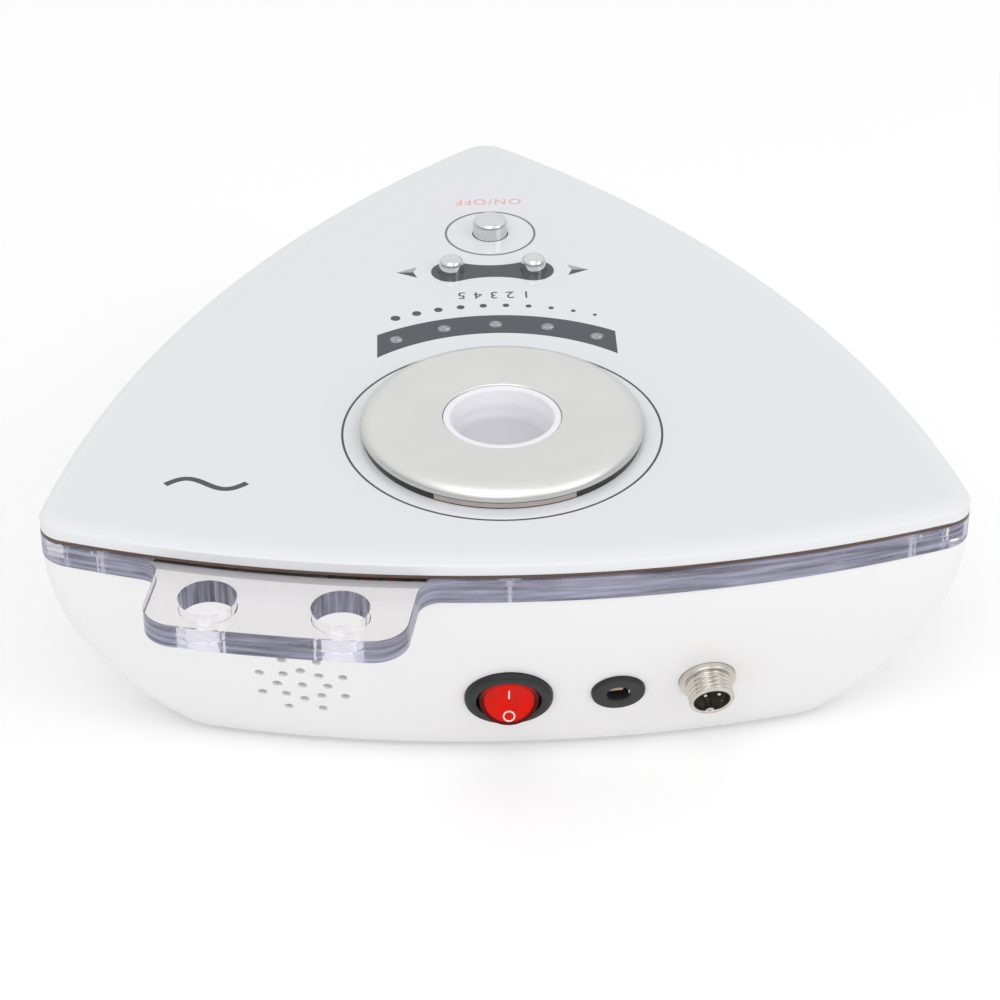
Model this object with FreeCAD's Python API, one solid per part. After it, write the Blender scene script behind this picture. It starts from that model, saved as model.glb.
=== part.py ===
"""Triangular desktop radio-frequency facial device, built as its separate pieces.

Millimetres, +Z up, +Y towards the rear wall with the sockets, +X towards the accessory rack.
The middle of the triangle is the working origin; every piece is shifted at the end so that the
origin is the middle of the footprint, on the surface that the feet stand on.
"""
import FreeCAD, Part
import math
import os
from FreeCAD import Vector

os.makedirs("parts", exist_ok=True)

# Fits between pieces
fastener_clearance = 0.2
thread_clearance = 0.05
slide_clearance = 0.25
pivot_clearance = 0.08
seat_clearance = 0.15

# Top panel: triangle with arched sides and rounded corners
panel_reach = 127.6
panel_corner = 8.4
panel_side = 91.0
panel_edge_height = 2.6
bevel_width = 7.5
bevel_height = 1.4
bevel_facets = 8
panel_thickness = panel_edge_height + bevel_height

# Heights of the stack, from the surface up
foot_height = 1.4
bowl_height = 61.5
plate_thickness = 6.7
tape_thickness = 0.9
rim_z = foot_height + bowl_height
plate_top = rim_z + plate_thickness
panel_bottom = plate_top + tape_thickness
panel_top = panel_bottom + panel_thickness

# Lower bowl
rim_step = 0.2
base_reach = 83.0
base_corner = 20.0
base_side = 70.2
corner_sweep = 1.88
side_sweep = 1.3
bowl_wall = 3.0
bowl_floor = 3.0
base_round = 1.5
bowl_sections = 7
floor_top = foot_height + bowl_floor

# Clear accessory plate with its rack tab
plate_overhang = 1.0
plate_frame_width = 26.0
plate_opening_reach = 84.0
plate_opening_corner = 12.0
rack_along = 55.5
rack_half_width = 33.2
rack_reach = 25.9
rack_corner = 9.0
rack_root = 6.0
rack_hole_radius = 7.2
rack_hole_reach = 12.2
rack_hole_half_spacing = 16.7
rack_hole_shift = 1.3
tape_step = 0.2

# Plate screws and the bowl's bosses
plate_screw_radius = 1.5
plate_screw_length = 10.0
plate_screw_head = 3.0
plate_screw_head_height = 2.6
counterbore_depth = 3.2
corner_screw_edge = 13.1
corner_screw_turn = 3.9
side_screw_edge = 7.0
boss_radius = 4.0
boss_depth = 12.0
boss_web = 2.4

# Rubber feet
foot_radius = 7.0
foot_recess = 0.6
foot_reach = 68.0

# Metal disc, the ring it stands on and the white cup in it
disc_y = 30.0
disc_radius = 37.4
disc_edge_width = 4.0
disc_thickness = 2.8
disc_dish = 0.9
disc_edge_height = 0.6
ring_radius = 37.0
ring_bore = 20.0
ring_height = 2.0
cup_radius = 15.65
cup_mouth = 13.7
cup_floor_radius = 11.2
cup_depth = 8.5
cup_floor = 1.6
cup_recess = 0.1
lock_ring_radius = 19.5
lock_ring_height = 2.4
disc_screw_reach = 28.0
disc_screw_radius = 1.5
disc_screw_head = 2.75
disc_screw_head_height = 2.2
disc_screw_bite = 1.8

# Buttons on the panel
power_y = -78.0
power_radius = 5.0
level_x = 11.8
level_y = -56.0
level_radius = 3.5
power_proud = 5.0
level_proud = 4.6
power_edge_round = 1.5
level_edge_round = 1.6
button_flange = 1.4
button_flange_height = 1.2
button_travel = 0.5
stem_radius = 1.6

# Control board below the panel
spacer_height = 8.0
spacer_radius = 2.5
board_thickness = 1.6
board_margin = 10.0
control_front_half = 9.0
spacer_front_step = 20.0
spacer_rear_step = 24.0
spacer_edge = 5.5
board_screw_radius = 1.25
board_screw_head = 2.4
board_screw_head_height = 1.6
board_screw_bite = 4.5
tact_size = 6.0
tact_height = 3.5
plunger_radius = 1.7
plunger_sunk = 1.0
plunger_top_height = 1.3

# Row of indicator lights, on an arc round the disc
led_arc = 55.5
led_step = 15.0
led_count = 5
led_radius = 1.9
led_flange = 0.4
led_flange_height = 1.0
led_leg = 0.5
led_leg_half_spacing = 1.27
led_below_panel = 1.2

# Main board on the bowl's floor
main_length = 96.0
main_width = 72.0
main_y = 4.0
main_hole_edge = 5.0
standoff_height = 8.0
standoff_radius = 4.0

# Parts on the main board
core_width = 32.0
core_depth = 12.0
core_height = 28.0
core_leg = 5.0
core_middle_leg = 10.0
winding_gap = 0.2
winding_wall = 6.0
transformer_x = -18.0
transformer_y = -6.0
capacitor_radius = 5.0
capacitor_height = 20.0
capacitor_gap = 1.5
capacitor_y = 12.0
capacitor_spacing = 14.0
sink_length = 30.0
sink_base = 3.0
sink_height = 24.0
sink_fin = 1.6
sink_fin_depth = 11.0
sink_fins = 7
sink_edge = 9.0
sink_front = 14.0
transistor_width = 10.0
transistor_thickness = 4.5
transistor_height = 15.0
transistor_lift = 4.0
transistor_leg = 0.7
relay_length = 19.0
relay_width = 15.5
relay_height = 15.0
relay_edge = 5.5
relay_y = 10.0
header_length = 10.0
header_width = 6.0
header_height = 8.0
header_edge = 5.0
header_gap = 4.0
ribbon_header_length = 16.0
ribbon_header_gap = 1.0

# Seats of the fittings on the rear wall
seat_depth = 0.4
seat_face_depth = 2.0
seat_wall = 2.0
seat_inner_depth = 12.0

# Round rocker switch
switch_x = 0.0
switch_z = 24.1
bezel_radius = 11.5
bezel_height = 2.0
bezel_round = 1.0
window_radius = 8.5
switch_body_radius = 10.0
switch_depth = 14.0
switch_chamber = 9.0
rocker_radius = 7.3
rocker_tilt = 15.0
rocker_sunk = 0.6
pivot_depth = 1.0
pivot_radius = 1.3
pivot_reach = 9.3
rocker_waist = 6.0
rocker_hub = 2.6
rocker_hub_depth = 4.6
snap_height = 4.5
snap_width = 4.0
snap_reach = 1.0
terminal_width = 4.8
terminal_thickness = 0.8
terminal_length = 8.0
terminal_x = 4.0

# Barrel power socket
jack_x = -28.5
jack_z = 24.7
jack_flange_radius = 7.0
jack_flange_height = 1.5
jack_flange_round = 0.5
jack_radius = 5.5
jack_depth = 12.0
jack_bore = 3.1
jack_bore_depth = 9.5
jack_pin_radius = 1.0
jack_pin_sunk = 1.5
jack_pin_tail = 4.0
jack_strip_width = 2.4
jack_strip_thickness = 0.4
jack_strip_height = 2.3
jack_strip_sunk = 0.8
jack_strip_tail = 5.0
nut_height = 2.5
jack_nut_radius = 7.6

# Threaded round socket for the handpiece lead
socket_x = -51.7
socket_z = 26.9
socket_flange_radius = 7.4
socket_flange_height = 2.0
socket_thread_radius = 6.0
socket_thread_length = 5.5
socket_depth = 9.0
socket_bore = 4.8
socket_recess = 5.0
socket_pin_radius = 0.5
socket_pin_reach = 2.6
socket_pin_count = 4
socket_pin_sunk = 1.2
socket_pin_tail = 4.0
socket_key_width = 1.6
socket_key_height = 1.1
socket_nut_radius = 8.1

# Sounder behind the grille
sounder_x = 53.5
sounder_z = 27.4
sounder_radius = 14.5
sounder_depth = 9.0
sounder_chamber_radius = 12.8
sounder_chamber = 1.5
sounder_wall = 2.2
sounder_rib = 1.8
sounder_rib_height = 6.0
grille_hole = 1.22
grille_inner_ring = 6.6
grille_outer_ring = 11.8
grille_ring_count = 8
sounder_pin_radius = 0.6
sounder_pin_length = 3.0
sounder_pin_reach = 4.0

# Leads inside the bowl
lead_radius = 0.8
lead_run = 7.0
lead_drop = 11.0
lead_bend = 3.0
lead_half_spacing = 2.2
ribbon_width = 12.0
ribbon_thickness = 1.0
ribbon_bend = 4.0

corner_angles = (-90, 30, 150)
side_angles = (90, 210, 330)
up = Vector(0, 0, 1)
pieces = {}


def polar(radius, degrees, z=0.0):
    angle = math.radians(degrees)
    return Vector(radius * math.cos(angle), radius * math.sin(angle), z)


def arch_radius(reach, corner, side):
    """Radius of the arched sides that meet three corner arcs smoothly."""
    lean = reach / 2 - side
    return (lean ** 2 + 0.75 * reach ** 2 - corner ** 2) / (-2 * corner - 2 * lean)


def triangle_wire(reach, corner, side, z):
    """Outline with three corner arcs, centred at reach, and three arched sides."""
    arch_reach = arch_radius(reach, corner, side) - side

    def meeting(at, opposite):
        middle = polar(reach, at, z)
        outward = (middle - polar(arch_reach, opposite, z)).normalize()
        return middle + outward * corner

    edges = []
    for turn in range(3):
        here = corner_angles[turn]
        after = corner_angles[(turn + 1) % 3]
        before = corner_angles[(turn + 2) % 3]
        arrive = meeting(here, after)
        leave = meeting(here, before)
        tip = polar(reach + corner, here, z)
        edges.append(Part.Arc(arrive, tip, leave).toShape())
        side_middle = polar(side, before + 180, z)
        edges.append(Part.Arc(leave, side_middle, meeting(after, before)).toShape())
    return Part.Wire(edges)


def triangle_plate(reach, corner, side, z, height):
    return Part.Face(triangle_wire(reach, corner, side, z)).extrude(Vector(0, 0, height))


def rod(radius, low, high, x=0.0, y=0.0):
    return Part.makeCylinder(radius, high - low, Vector(x, y, low))


def block(length, width, height, x, y, low):
    """Box centred on x and y, standing on low."""
    return Part.makeBox(length, width, height, Vector(x - length / 2, y - width / 2, low))


def turned(outline):
    """Solid of revolution about Z from a closed list of radius and height pairs."""
    corners = [Vector(radius, 0, z) for radius, z in outline]
    face = Part.Face(Part.makePolygon(corners + corners[:1]))
    return face.revolve(Vector(), up, 360)


def hexagon(radius, low, high):
    corners = [polar(radius, 60 * step, low) for step in range(7)]
    return Part.Face(Part.makePolygon(corners)).extrude(Vector(0, 0, high - low))


def round_edges(shape, radius, z, size):
    """Round the circular edges of one radius at one height."""
    near = 1e-4
    chosen = []
    for edge in shape.Edges:
        curve = edge.Curve
        if not isinstance(curve, Part.Circle):
            continue
        if abs(curve.Radius - radius) < near and abs(curve.Center.z - z) < near:
            chosen.append(edge)
    return shape.makeFillet(size, chosen)


def lead(points, section, bend):
    """Tube along straight runs with a tangent arc at each turn."""
    edges = []
    start = points[0]
    arc_angle = 0.0
    for before, corner, after in zip(points, points[1:], points[2:]):
        back = (before - corner).normalize()
        forward = (after - corner).normalize()
        half = back.getAngle(forward) / 2
        cut = bend / math.tan(half)
        enter = corner + back * cut
        leave = corner + forward * cut
        inward = (back + forward).normalize()
        middle = corner + inward * (bend / math.sin(half) - bend)
        edges.append(Part.LineSegment(start, enter).toShape())
        edges.append(Part.Arc(enter, middle, leave).toShape())
        start = leave
        arc_angle += math.pi - 2 * half
    edges.append(Part.LineSegment(start, points[-1]).toShape())
    path = Part.Wire(edges)
    tube = path.makePipeShell([section], True, False)
    area = Part.Face(section).Area
    print("lead volume %.1f, section times length %.1f" % (tube.Volume, area * path.Length))
    return tube


def round_section(point, direction, radius):
    return Part.Wire(Part.Circle(point, direction, radius).toShape())


# Shape of the bowl's wall
rim_corner = panel_corner - rim_step
rim_side = panel_side - rim_step
rim_tip = panel_reach + rim_corner
base_tip = base_reach + base_corner


def bowl_sizes(depth):
    """Corner reach, corner radius and side reach of the bowl at a depth below its rim."""
    share = depth / bowl_height
    tip = rim_tip + (base_tip - rim_tip) * share ** corner_sweep
    corner = rim_corner + (base_corner - rim_corner) * share ** corner_sweep
    side = rim_side + (base_side - rim_side) * share ** side_sweep
    return tip - corner, corner, side


def bowl_body(inset, lowest):
    """Solid that fills the bowl from its rim down to a height, drawn in by an inset."""
    wires = []
    for step in range(bowl_sections):
        depth = (rim_z - lowest) * step / (bowl_sections - 1)
        reach, corner, side = bowl_sizes(depth)
        wires.append(triangle_wire(reach, corner - inset, side - inset, rim_z - depth))
    return Part.makeLoft(wires, True, False)


def rear_wall_y(x, z):
    reach, corner, side = bowl_sizes(rim_z - z)
    arch = arch_radius(reach, corner, side)
    return math.sqrt(arch ** 2 - x ** 2) - (arch - side)


def wall_seat(x, z, sunk):
    """Placement on the rear wall: local Z outward, local Y up the wall, sunk into the surface."""
    step = 0.5
    slope_x = (rear_wall_y(x + step, z) - rear_wall_y(x - step, z)) / (2 * step)
    slope_z = (rear_wall_y(x, z + step) - rear_wall_y(x, z - step)) / (2 * step)
    outward = Vector(-slope_x, 1, -slope_z).normalize()
    across = up.cross(outward).normalize()
    upward = outward.cross(across)
    turn = FreeCAD.Rotation(across, upward, outward, "ZXY")
    point = Vector(x, rear_wall_y(x, z), z) - outward * sunk
    return FreeCAD.Placement(point, turn)


def placed(shape, seat):
    moved = shape.copy()
    moved.Placement = seat.multiply(shape.Placement)
    return moved


switch_seat = wall_seat(switch_x, switch_z, seat_depth)
jack_seat = wall_seat(jack_x, jack_z, seat_depth)
socket_seat = wall_seat(socket_x, socket_z, seat_depth)
sounder_seat = wall_seat(sounder_x, sounder_z, 0.0)

# Outline of the clear plate, whose tips are flush with the panel's, and of its opening
plate_reach = panel_reach - plate_overhang
plate_corner = panel_corner + plate_overhang
plate_side = panel_side + plate_overhang
plate_opening_side = plate_side - plate_frame_width

# Places of the plate screws: a pair in each of the frame's corners, one halfway along each side
plate_tip = plate_reach + plate_corner
corner_screw_reach = plate_tip - corner_screw_edge
side_screw_reach = plate_side - side_screw_edge
screw_places = []
for corner_angle in corner_angles:
    for angle in (corner_angle - corner_screw_turn, corner_angle + corner_screw_turn):
        screw_places.append((polar(corner_screw_reach, angle), angle))
for angle in side_angles:
    screw_places.append((polar(side_screw_reach, angle), angle))

# Main board: holes near its corners
main_bottom = floor_top + standoff_height
main_top = main_bottom + board_thickness
main_holes = []
for side_x in (-1, 1):
    for side_y in (-1, 1):
        hole_x = side_x * (main_length / 2 - main_hole_edge)
        hole_y = main_y + side_y * (main_width / 2 - main_hole_edge)
        main_holes.append((hole_x, hole_y))


# Lower bowl: white moulded shell with the rear fittings' seats, screw bosses and board standoffs
outer_bowl = bowl_body(0.0, foot_height)
base_edges = []
for edge in outer_bowl.Edges:
    if edge.BoundBox.ZMax < foot_height + 0.01:
        base_edges.append(edge)
outer_bowl = outer_bowl.makeFillet(base_round, base_edges)
shell = outer_bowl.cut(bowl_body(bowl_wall, floor_top))

boss_low = rim_z - boss_depth
bosses = []
for place, angle in screw_places:
    column = rod(boss_radius, boss_low, rim_z, place.x, place.y)
    web_length = rim_tip - corner_screw_reach
    web = Part.makeBox(web_length, boss_web, boss_depth, Vector(0, -boss_web / 2, boss_low))
    web.rotate(Vector(), up, angle)
    web.translate(place)
    bosses.append(column.fuse(web).common(outer_bowl))
for hole_x, hole_y in main_holes:
    bosses.append(rod(standoff_radius, floor_top, main_bottom, hole_x, hole_y))
shell = shell.fuse(bosses)

sounder_tube_outer = sounder_radius + seat_clearance + sounder_rib
flat_cuts = []
flat_cuts.append(placed(rod(sounder_tube_outer, -seat_inner_depth, -sounder_wall), sounder_seat))
seat_sizes = (
    (switch_seat, bezel_radius, switch_body_radius, bezel_radius),
    (jack_seat, jack_flange_radius, jack_radius, jack_nut_radius),
    (socket_seat, socket_flange_radius, socket_thread_radius, socket_nut_radius),
)
for seat, face_radius, hole_radius, inner_radius in seat_sizes:
    face_cut = rod(face_radius + seat_clearance, 0, seat_face_depth)
    hole_cut = rod(hole_radius + seat_clearance, -seat_inner_depth, seat_depth)
    inner_cut = rod(inner_radius + seat_clearance, -seat_inner_depth, -seat_wall)
    for cut in (face_cut, hole_cut, inner_cut):
        flat_cuts.append(placed(cut, seat))
shell = shell.cut(flat_cuts)

tube = rod(sounder_tube_outer, -sounder_wall - sounder_rib_height, -sounder_wall)
tube = tube.cut(rod(sounder_radius + seat_clearance, -seat_inner_depth, 0))
shell = shell.fuse(placed(tube, sounder_seat))

drills = []
grille = [(0.0, 0.0)]
for step in range(grille_ring_count):
    turn = 360.0 / grille_ring_count
    grille.append((grille_inner_ring, turn * step))
    grille.append((grille_outer_ring, turn * (step + 0.5)))
for ring_reach, angle in grille:
    spot = polar(ring_reach, angle)
    drill = rod(grille_hole, -sounder_wall * 2, sounder_wall, spot.x, spot.y)
    drills.append(placed(drill, sounder_seat))
for place, angle in screw_places:
    drills.append(rod(plate_screw_radius + thread_clearance, boss_low + boss_web, rim_z, place.x, place.y))
for hole_x, hole_y in main_holes:
    drills.append(rod(board_screw_radius + thread_clearance, floor_top, main_bottom, hole_x, hole_y))
for angle in corner_angles:
    foot = polar(foot_reach, angle)
    recess_top = foot_height + foot_recess
    drills.append(rod(foot_radius + seat_clearance, 0, recess_top, foot.x, foot.y))
pieces["lower_shell"] = shell.cut(drills).removeSplitter()

# Rubber feet: discs stuck in shallow recesses of the floor
feet = []
for angle in corner_angles:
    foot = polar(foot_reach, angle)
    pad = rod(foot_radius, 0, foot_height + foot_recess, foot.x, foot.y)
    feet.append(round_edges(pad, foot_radius, 0, foot_height / 4))
pieces["rubber_feet"] = Part.makeCompound(feet)


# Clear accessory plate: thick sheet between bowl and panel, with a rack tab on one side
plate_arch = arch_radius(plate_reach, plate_corner, plate_side)
arch_middle = polar(plate_arch - plate_side, corner_angles[0], rim_z)
rack_turn = rack_along / plate_arch


def rack_point(across, out):
    """Point in plan, across the rack tab and out from the middle of the rear arch."""
    along = Vector(math.sin(rack_turn), math.cos(rack_turn), 0)
    sideways = Vector(math.cos(rack_turn), -math.sin(rack_turn), 0)
    return arch_middle + sideways * across + along * out


rack_outer = plate_arch + rack_reach
rack_inner = plate_arch - rack_reach
corner_out = math.sqrt(rack_outer ** 2 - rack_half_width ** 2)
root_out = math.sqrt(plate_arch ** 2 - rack_half_width ** 2)
far_left = rack_point(rack_half_width, corner_out)
far_right = rack_point(-rack_half_width, corner_out)
near_left = rack_point(rack_half_width, rack_inner)
near_right = rack_point(-rack_half_width, rack_inner)
tab_edges = [
    Part.LineSegment(near_left, far_left).toShape(),
    Part.Arc(far_left, rack_point(0, rack_outer), far_right).toShape(),
    Part.LineSegment(far_right, near_right).toShape(),
    Part.LineSegment(near_right, near_left).toShape(),
]
tab = Part.Face(Part.Wire(tab_edges)).extrude(Vector(0, 0, plate_thickness))
plate = triangle_plate(plate_reach, plate_corner, plate_side, rim_z, plate_thickness)
plate = plate.fuse(tab).removeSplitter()


def upright_edges(shape, points):
    """Vertical edges of a plate that stand at the given points in plan."""
    near = 0.01
    found = []
    for edge in shape.Edges:
        first = edge.Vertexes[0].Point
        last = edge.Vertexes[-1].Point
        if math.hypot(first.x - last.x, first.y - last.y) > near:
            continue
        for point in points:
            if math.hypot(first.x - point.x, first.y - point.y) < near:
                found.append(edge)
    return found


plate = plate.makeFillet(rack_corner, upright_edges(plate, (far_left, far_right)))
roots = (rack_point(rack_half_width, root_out), rack_point(-rack_half_width, root_out))
plate = plate.makeFillet(rack_root, upright_edges(plate, roots))
plate_cuts = [
    triangle_plate(plate_opening_reach, plate_opening_corner, plate_opening_side, rim_z, plate_thickness)
]
for side in (-1, 1):
    across = rack_hole_shift + side * rack_hole_half_spacing
    hole = rack_point(across, plate_arch + rack_hole_reach)
    plate_cuts.append(rod(rack_hole_radius, rim_z, plate_top, hole.x, hole.y))
    print("rack hole", hole)
head_seat = plate_top - counterbore_depth
for place, angle in screw_places:
    shank_hole = plate_screw_radius + fastener_clearance
    head_hole = plate_screw_head + fastener_clearance
    plate_cuts.append(rod(shank_hole, rim_z, plate_top, place.x, place.y))
    plate_cuts.append(rod(head_hole, head_seat, plate_top, place.x, place.y))
pieces["accessory_plate"] = plate.cut(plate_cuts)

# Plate screws: round heads sunk in the plate, shanks in the bowl's bosses
screws = []
for place, angle in screw_places:
    head = rod(plate_screw_head, head_seat, head_seat + plate_screw_head_height, place.x, place.y)
    shank = rod(plate_screw_radius, head_seat - plate_screw_length, head_seat, place.x, place.y)
    screws.append(head.fuse(shank).removeSplitter())
pieces["plate_screws"] = Part.makeCompound(screws)

# Dark bonding tape between plate and panel
tape = triangle_plate(
    panel_reach, panel_corner - tape_step, panel_side - tape_step, plate_top, tape_thickness
)
tape_opening = triangle_plate(
    plate_opening_reach, plate_opening_corner, plate_opening_side, plate_top, tape_thickness
)
pieces["bonding_tape"] = tape.cut(tape_opening)


# Buttons, lights and disc screws: places on the panel
button_places = (
    ("power", 0.0, power_y, power_radius, power_proud, power_edge_round),
    ("level_up", level_x, level_y, level_radius, level_proud, level_edge_round),
    ("level_down", -level_x, level_y, level_radius, level_proud, level_edge_round),
)
led_places = []
for step in range(led_count):
    angle = -90 + led_step * (step - (led_count - 1) / 2)
    spot = polar(led_arc, angle)
    led_places.append((spot.x, disc_y + spot.y))
disc_screw_places = []
for angle in side_angles:
    spot = polar(disc_screw_reach, angle)
    disc_screw_places.append((spot.x, disc_y + spot.y))

# Top panel: glossy sheet whose upper edge falls away in a shallow quarter ellipse
bevel_wires = []
for step in range(bevel_facets + 1):
    share = (step / bevel_facets) ** 2
    drop = 1 - math.sqrt(1 - (1 - share) ** 2)
    inset = bevel_width * share
    corner = max(panel_corner - inset, panel_corner / 10)
    reach = panel_reach + panel_corner - inset - corner
    bevel_wires.append(triangle_wire(reach, corner, panel_side - inset, panel_top - bevel_height * drop))
panel = triangle_plate(panel_reach, panel_corner, panel_side, panel_bottom, panel_edge_height)
panel = panel.fuse(Part.makeLoft(bevel_wires, True, True))
panel_cuts = [rod(cup_radius + slide_clearance, panel_bottom, panel_top, 0, disc_y)]
for name, x, y, radius, proud, edge_round in button_places:
    panel_cuts.append(rod(radius + slide_clearance, panel_bottom, panel_top, x, y))
for x, y in led_places:
    panel_cuts.append(rod(led_radius + seat_clearance, panel_bottom, panel_top, x, y))
for x, y in disc_screw_places:
    panel_cuts.append(rod(disc_screw_radius + fastener_clearance, panel_bottom, panel_top, x, y))
pieces["top_panel"] = panel.cut(panel_cuts)

# Ring under the metal disc
ring_top = panel_top + ring_height
ring = rod(ring_radius, panel_top, ring_top, 0, disc_y)
ring_cuts = [rod(ring_bore, panel_top, ring_top, 0, disc_y)]
for x, y in disc_screw_places:
    ring_cuts.append(rod(disc_screw_radius + fastener_clearance, panel_top, ring_top, x, y))
pieces["disc_ring"] = ring.cut(ring_cuts)

# Metal disc: turned plate, dished a little, with a soft elliptical edge and a hole for the cup
disc_top = ring_top + disc_thickness
crest_z = disc_top + disc_dish
crest_radius = disc_radius - disc_edge_width
edge_low = ring_top + disc_edge_height
disc_hole = cup_radius + slide_clearance
edge_start = Vector(disc_radius, 0, edge_low)
edge_end = Vector(crest_radius, 0, crest_z)
edge_middle = Vector(crest_radius, 0, edge_low)
edge_curve = Part.ArcOfEllipse(Part.Ellipse(edge_start, edge_end, edge_middle), 0, math.pi / 2)
disc_edges = [
    Part.LineSegment(Vector(disc_hole, 0, ring_top), Vector(disc_radius, 0, ring_top)).toShape(),
    Part.LineSegment(Vector(disc_radius, 0, ring_top), edge_start).toShape(),
    edge_curve.toShape(),
    Part.LineSegment(edge_end, Vector(disc_hole, 0, disc_top)).toShape(),
    Part.LineSegment(Vector(disc_hole, 0, disc_top), Vector(disc_hole, 0, ring_top)).toShape(),
]
disc = Part.Face(Part.Wire(disc_edges)).revolve(Vector(), up, 360)
disc.translate(Vector(0, disc_y, 0))
disc_cuts = []
for x, y in disc_screw_places:
    disc_cuts.append(rod(disc_screw_radius + thread_clearance, ring_top, ring_top + disc_screw_bite, x, y))
pieces["metal_disc"] = disc.cut(disc_cuts)

# Screws that hold disc and ring from below the panel
screws = []
for x, y in disc_screw_places:
    head = rod(disc_screw_head, panel_bottom - disc_screw_head_height, panel_bottom, x, y)
    shank = rod(disc_screw_radius, panel_bottom, ring_top + disc_screw_bite, x, y)
    screws.append(head.fuse(shank).removeSplitter())
pieces["disc_screws"] = Part.makeCompound(screws)

# White cup in the disc: open top, soft floor, held by a threaded ring below the panel
cup_top = disc_top - cup_recess
cup_floor_z = cup_top - cup_depth
cup_low = panel_bottom - lock_ring_height
floor_round = cup_mouth - cup_floor_radius
wall_foot = Vector(cup_mouth, 0, cup_floor_z + floor_round)
floor_edge = Vector(cup_floor_radius, 0, cup_floor_z)
bow = floor_round * math.sqrt(0.5)
floor_bow = Vector(cup_floor_radius + bow, 0, cup_floor_z + floor_round - bow)
cup_corners = (
    floor_edge,
    Vector(0, 0, cup_floor_z),
    Vector(0, 0, cup_floor_z - cup_floor),
    Vector(cup_mouth, 0, cup_floor_z - cup_floor),
    Vector(cup_mouth, 0, cup_low),
    Vector(cup_radius, 0, cup_low),
    Vector(cup_radius, 0, cup_top),
    Vector(cup_mouth, 0, cup_top),
    wall_foot,
)
cup_edges = [Part.Arc(wall_foot, floor_bow, floor_edge).toShape()]
for first, last in zip(cup_corners, cup_corners[1:]):
    cup_edges.append(Part.LineSegment(first, last).toShape())
cup = Part.Face(Part.Wire(cup_edges)).revolve(Vector(), up, 360)
cup.translate(Vector(0, disc_y, 0))
pieces["holder_cup"] = cup

lock_ring = rod(lock_ring_radius, cup_low, panel_bottom, 0, disc_y)
lock_thread = rod(cup_radius + thread_clearance, cup_low, panel_bottom, 0, disc_y)
pieces["cup_lock_ring"] = lock_ring.cut(lock_thread)


# Control board: tapered sheet on spacers below the panel
board_top = panel_bottom - spacer_height
board_bottom = board_top - board_thickness
board_front = power_y - board_margin
board_rear = max(y for x, y in led_places) + board_margin
board_rear_half = max(x for x, y in led_places) + board_margin / 2


def board_half(y):
    share = (y - board_front) / (board_rear - board_front)
    return control_front_half + (board_rear_half - control_front_half) * share


spacer_places = []
for y in (board_front + spacer_front_step, board_rear - spacer_rear_step):
    for side in (-1, 1):
        spacer_places.append((side * (board_half(y) - spacer_edge), y))
board_corners = [
    Vector(-control_front_half, board_front, board_bottom),
    Vector(control_front_half, board_front, board_bottom),
    Vector(board_rear_half, board_rear, board_bottom),
    Vector(-board_rear_half, board_rear, board_bottom),
]
board = Part.Face(Part.makePolygon(board_corners + board_corners[:1]))
board = board.extrude(Vector(0, 0, board_thickness))
board_cuts = []
spacers = []
screws = []
for x, y in spacer_places:
    shank_top = board_top + board_screw_bite
    board_cuts.append(rod(board_screw_radius + fastener_clearance, board_bottom, board_top, x, y))
    spacer = rod(spacer_radius, board_top, panel_bottom, x, y)
    spacers.append(spacer.cut(rod(board_screw_radius + thread_clearance, board_top, shank_top, x, y)))
    head = rod(board_screw_head, board_bottom - board_screw_head_height, board_bottom, x, y)
    screws.append(head.fuse(rod(board_screw_radius, board_bottom, shank_top, x, y)).removeSplitter())
pieces["control_board"] = board.cut(board_cuts)
pieces["board_spacers"] = Part.makeCompound(spacers)
pieces["control_board_screws"] = Part.makeCompound(screws)

# Push buttons: chrome caps with a retaining flange, each on the plunger of its switch
tact_top = board_top + tact_height
plunger_top = tact_top + plunger_top_height
plunger_low = tact_top - plunger_sunk
flange_top = panel_bottom - slide_clearance
flange_low = flange_top - button_flange_height
tacts = []
for name, x, y, radius, proud, edge_round in button_places:
    cap = rod(radius, flange_top, panel_top + proud, x, y)
    cap = round_edges(cap, radius, panel_top + proud, edge_round)
    flange = rod(radius + button_flange, flange_low, flange_top, x, y)
    stem = rod(stem_radius, plunger_top, flange_low, x, y)
    pieces[name + "_button"] = cap.fuse([flange, stem]).removeSplitter()
    pieces[name + "_plunger"] = rod(plunger_radius, plunger_low, plunger_top, x, y)
    tact = block(tact_size, tact_size, tact_height, x, y, board_top)
    well_low = plunger_low - button_travel - fastener_clearance
    tacts.append(tact.cut(rod(plunger_radius + pivot_clearance, well_low, tact_top, x, y)))
pieces["tact_switches"] = Part.makeCompound(tacts)

# Indicator lights: clear capsules in the panel's holes, on legs from the board
leds = []
for x, y in led_places:
    base_low = panel_bottom - led_below_panel
    base = rod(led_radius + led_flange, base_low, base_low + led_flange_height, x, y)
    lens = rod(led_radius, base_low, panel_top, x, y)
    lens = round_edges(lens, led_radius, panel_top, led_radius / 3)
    legs = []
    for side in (-1, 1):
        leg_x = x + side * led_leg_half_spacing
        legs.append(block(led_leg, led_leg, base_low - board_top, leg_x, y, board_top))
    leds.append(lens.fuse([base] + legs).removeSplitter())
pieces["indicator_lights"] = Part.makeCompound(leds)


# Main board on the bowl's standoffs
board = block(main_length, main_width, board_thickness, 0, main_y, main_bottom)
board_cuts = []
screws = []
for x, y in main_holes:
    board_cuts.append(rod(board_screw_radius + fastener_clearance, main_bottom, main_top, x, y))
    head = rod(board_screw_head, main_top, main_top + board_screw_head_height, x, y)
    shank = rod(board_screw_radius, main_bottom - board_screw_bite, main_top, x, y)
    screws.append(head.fuse(shank).removeSplitter())
pieces["main_board"] = board.cut(board_cuts)
pieces["main_board_screws"] = Part.makeCompound(screws)

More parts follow.
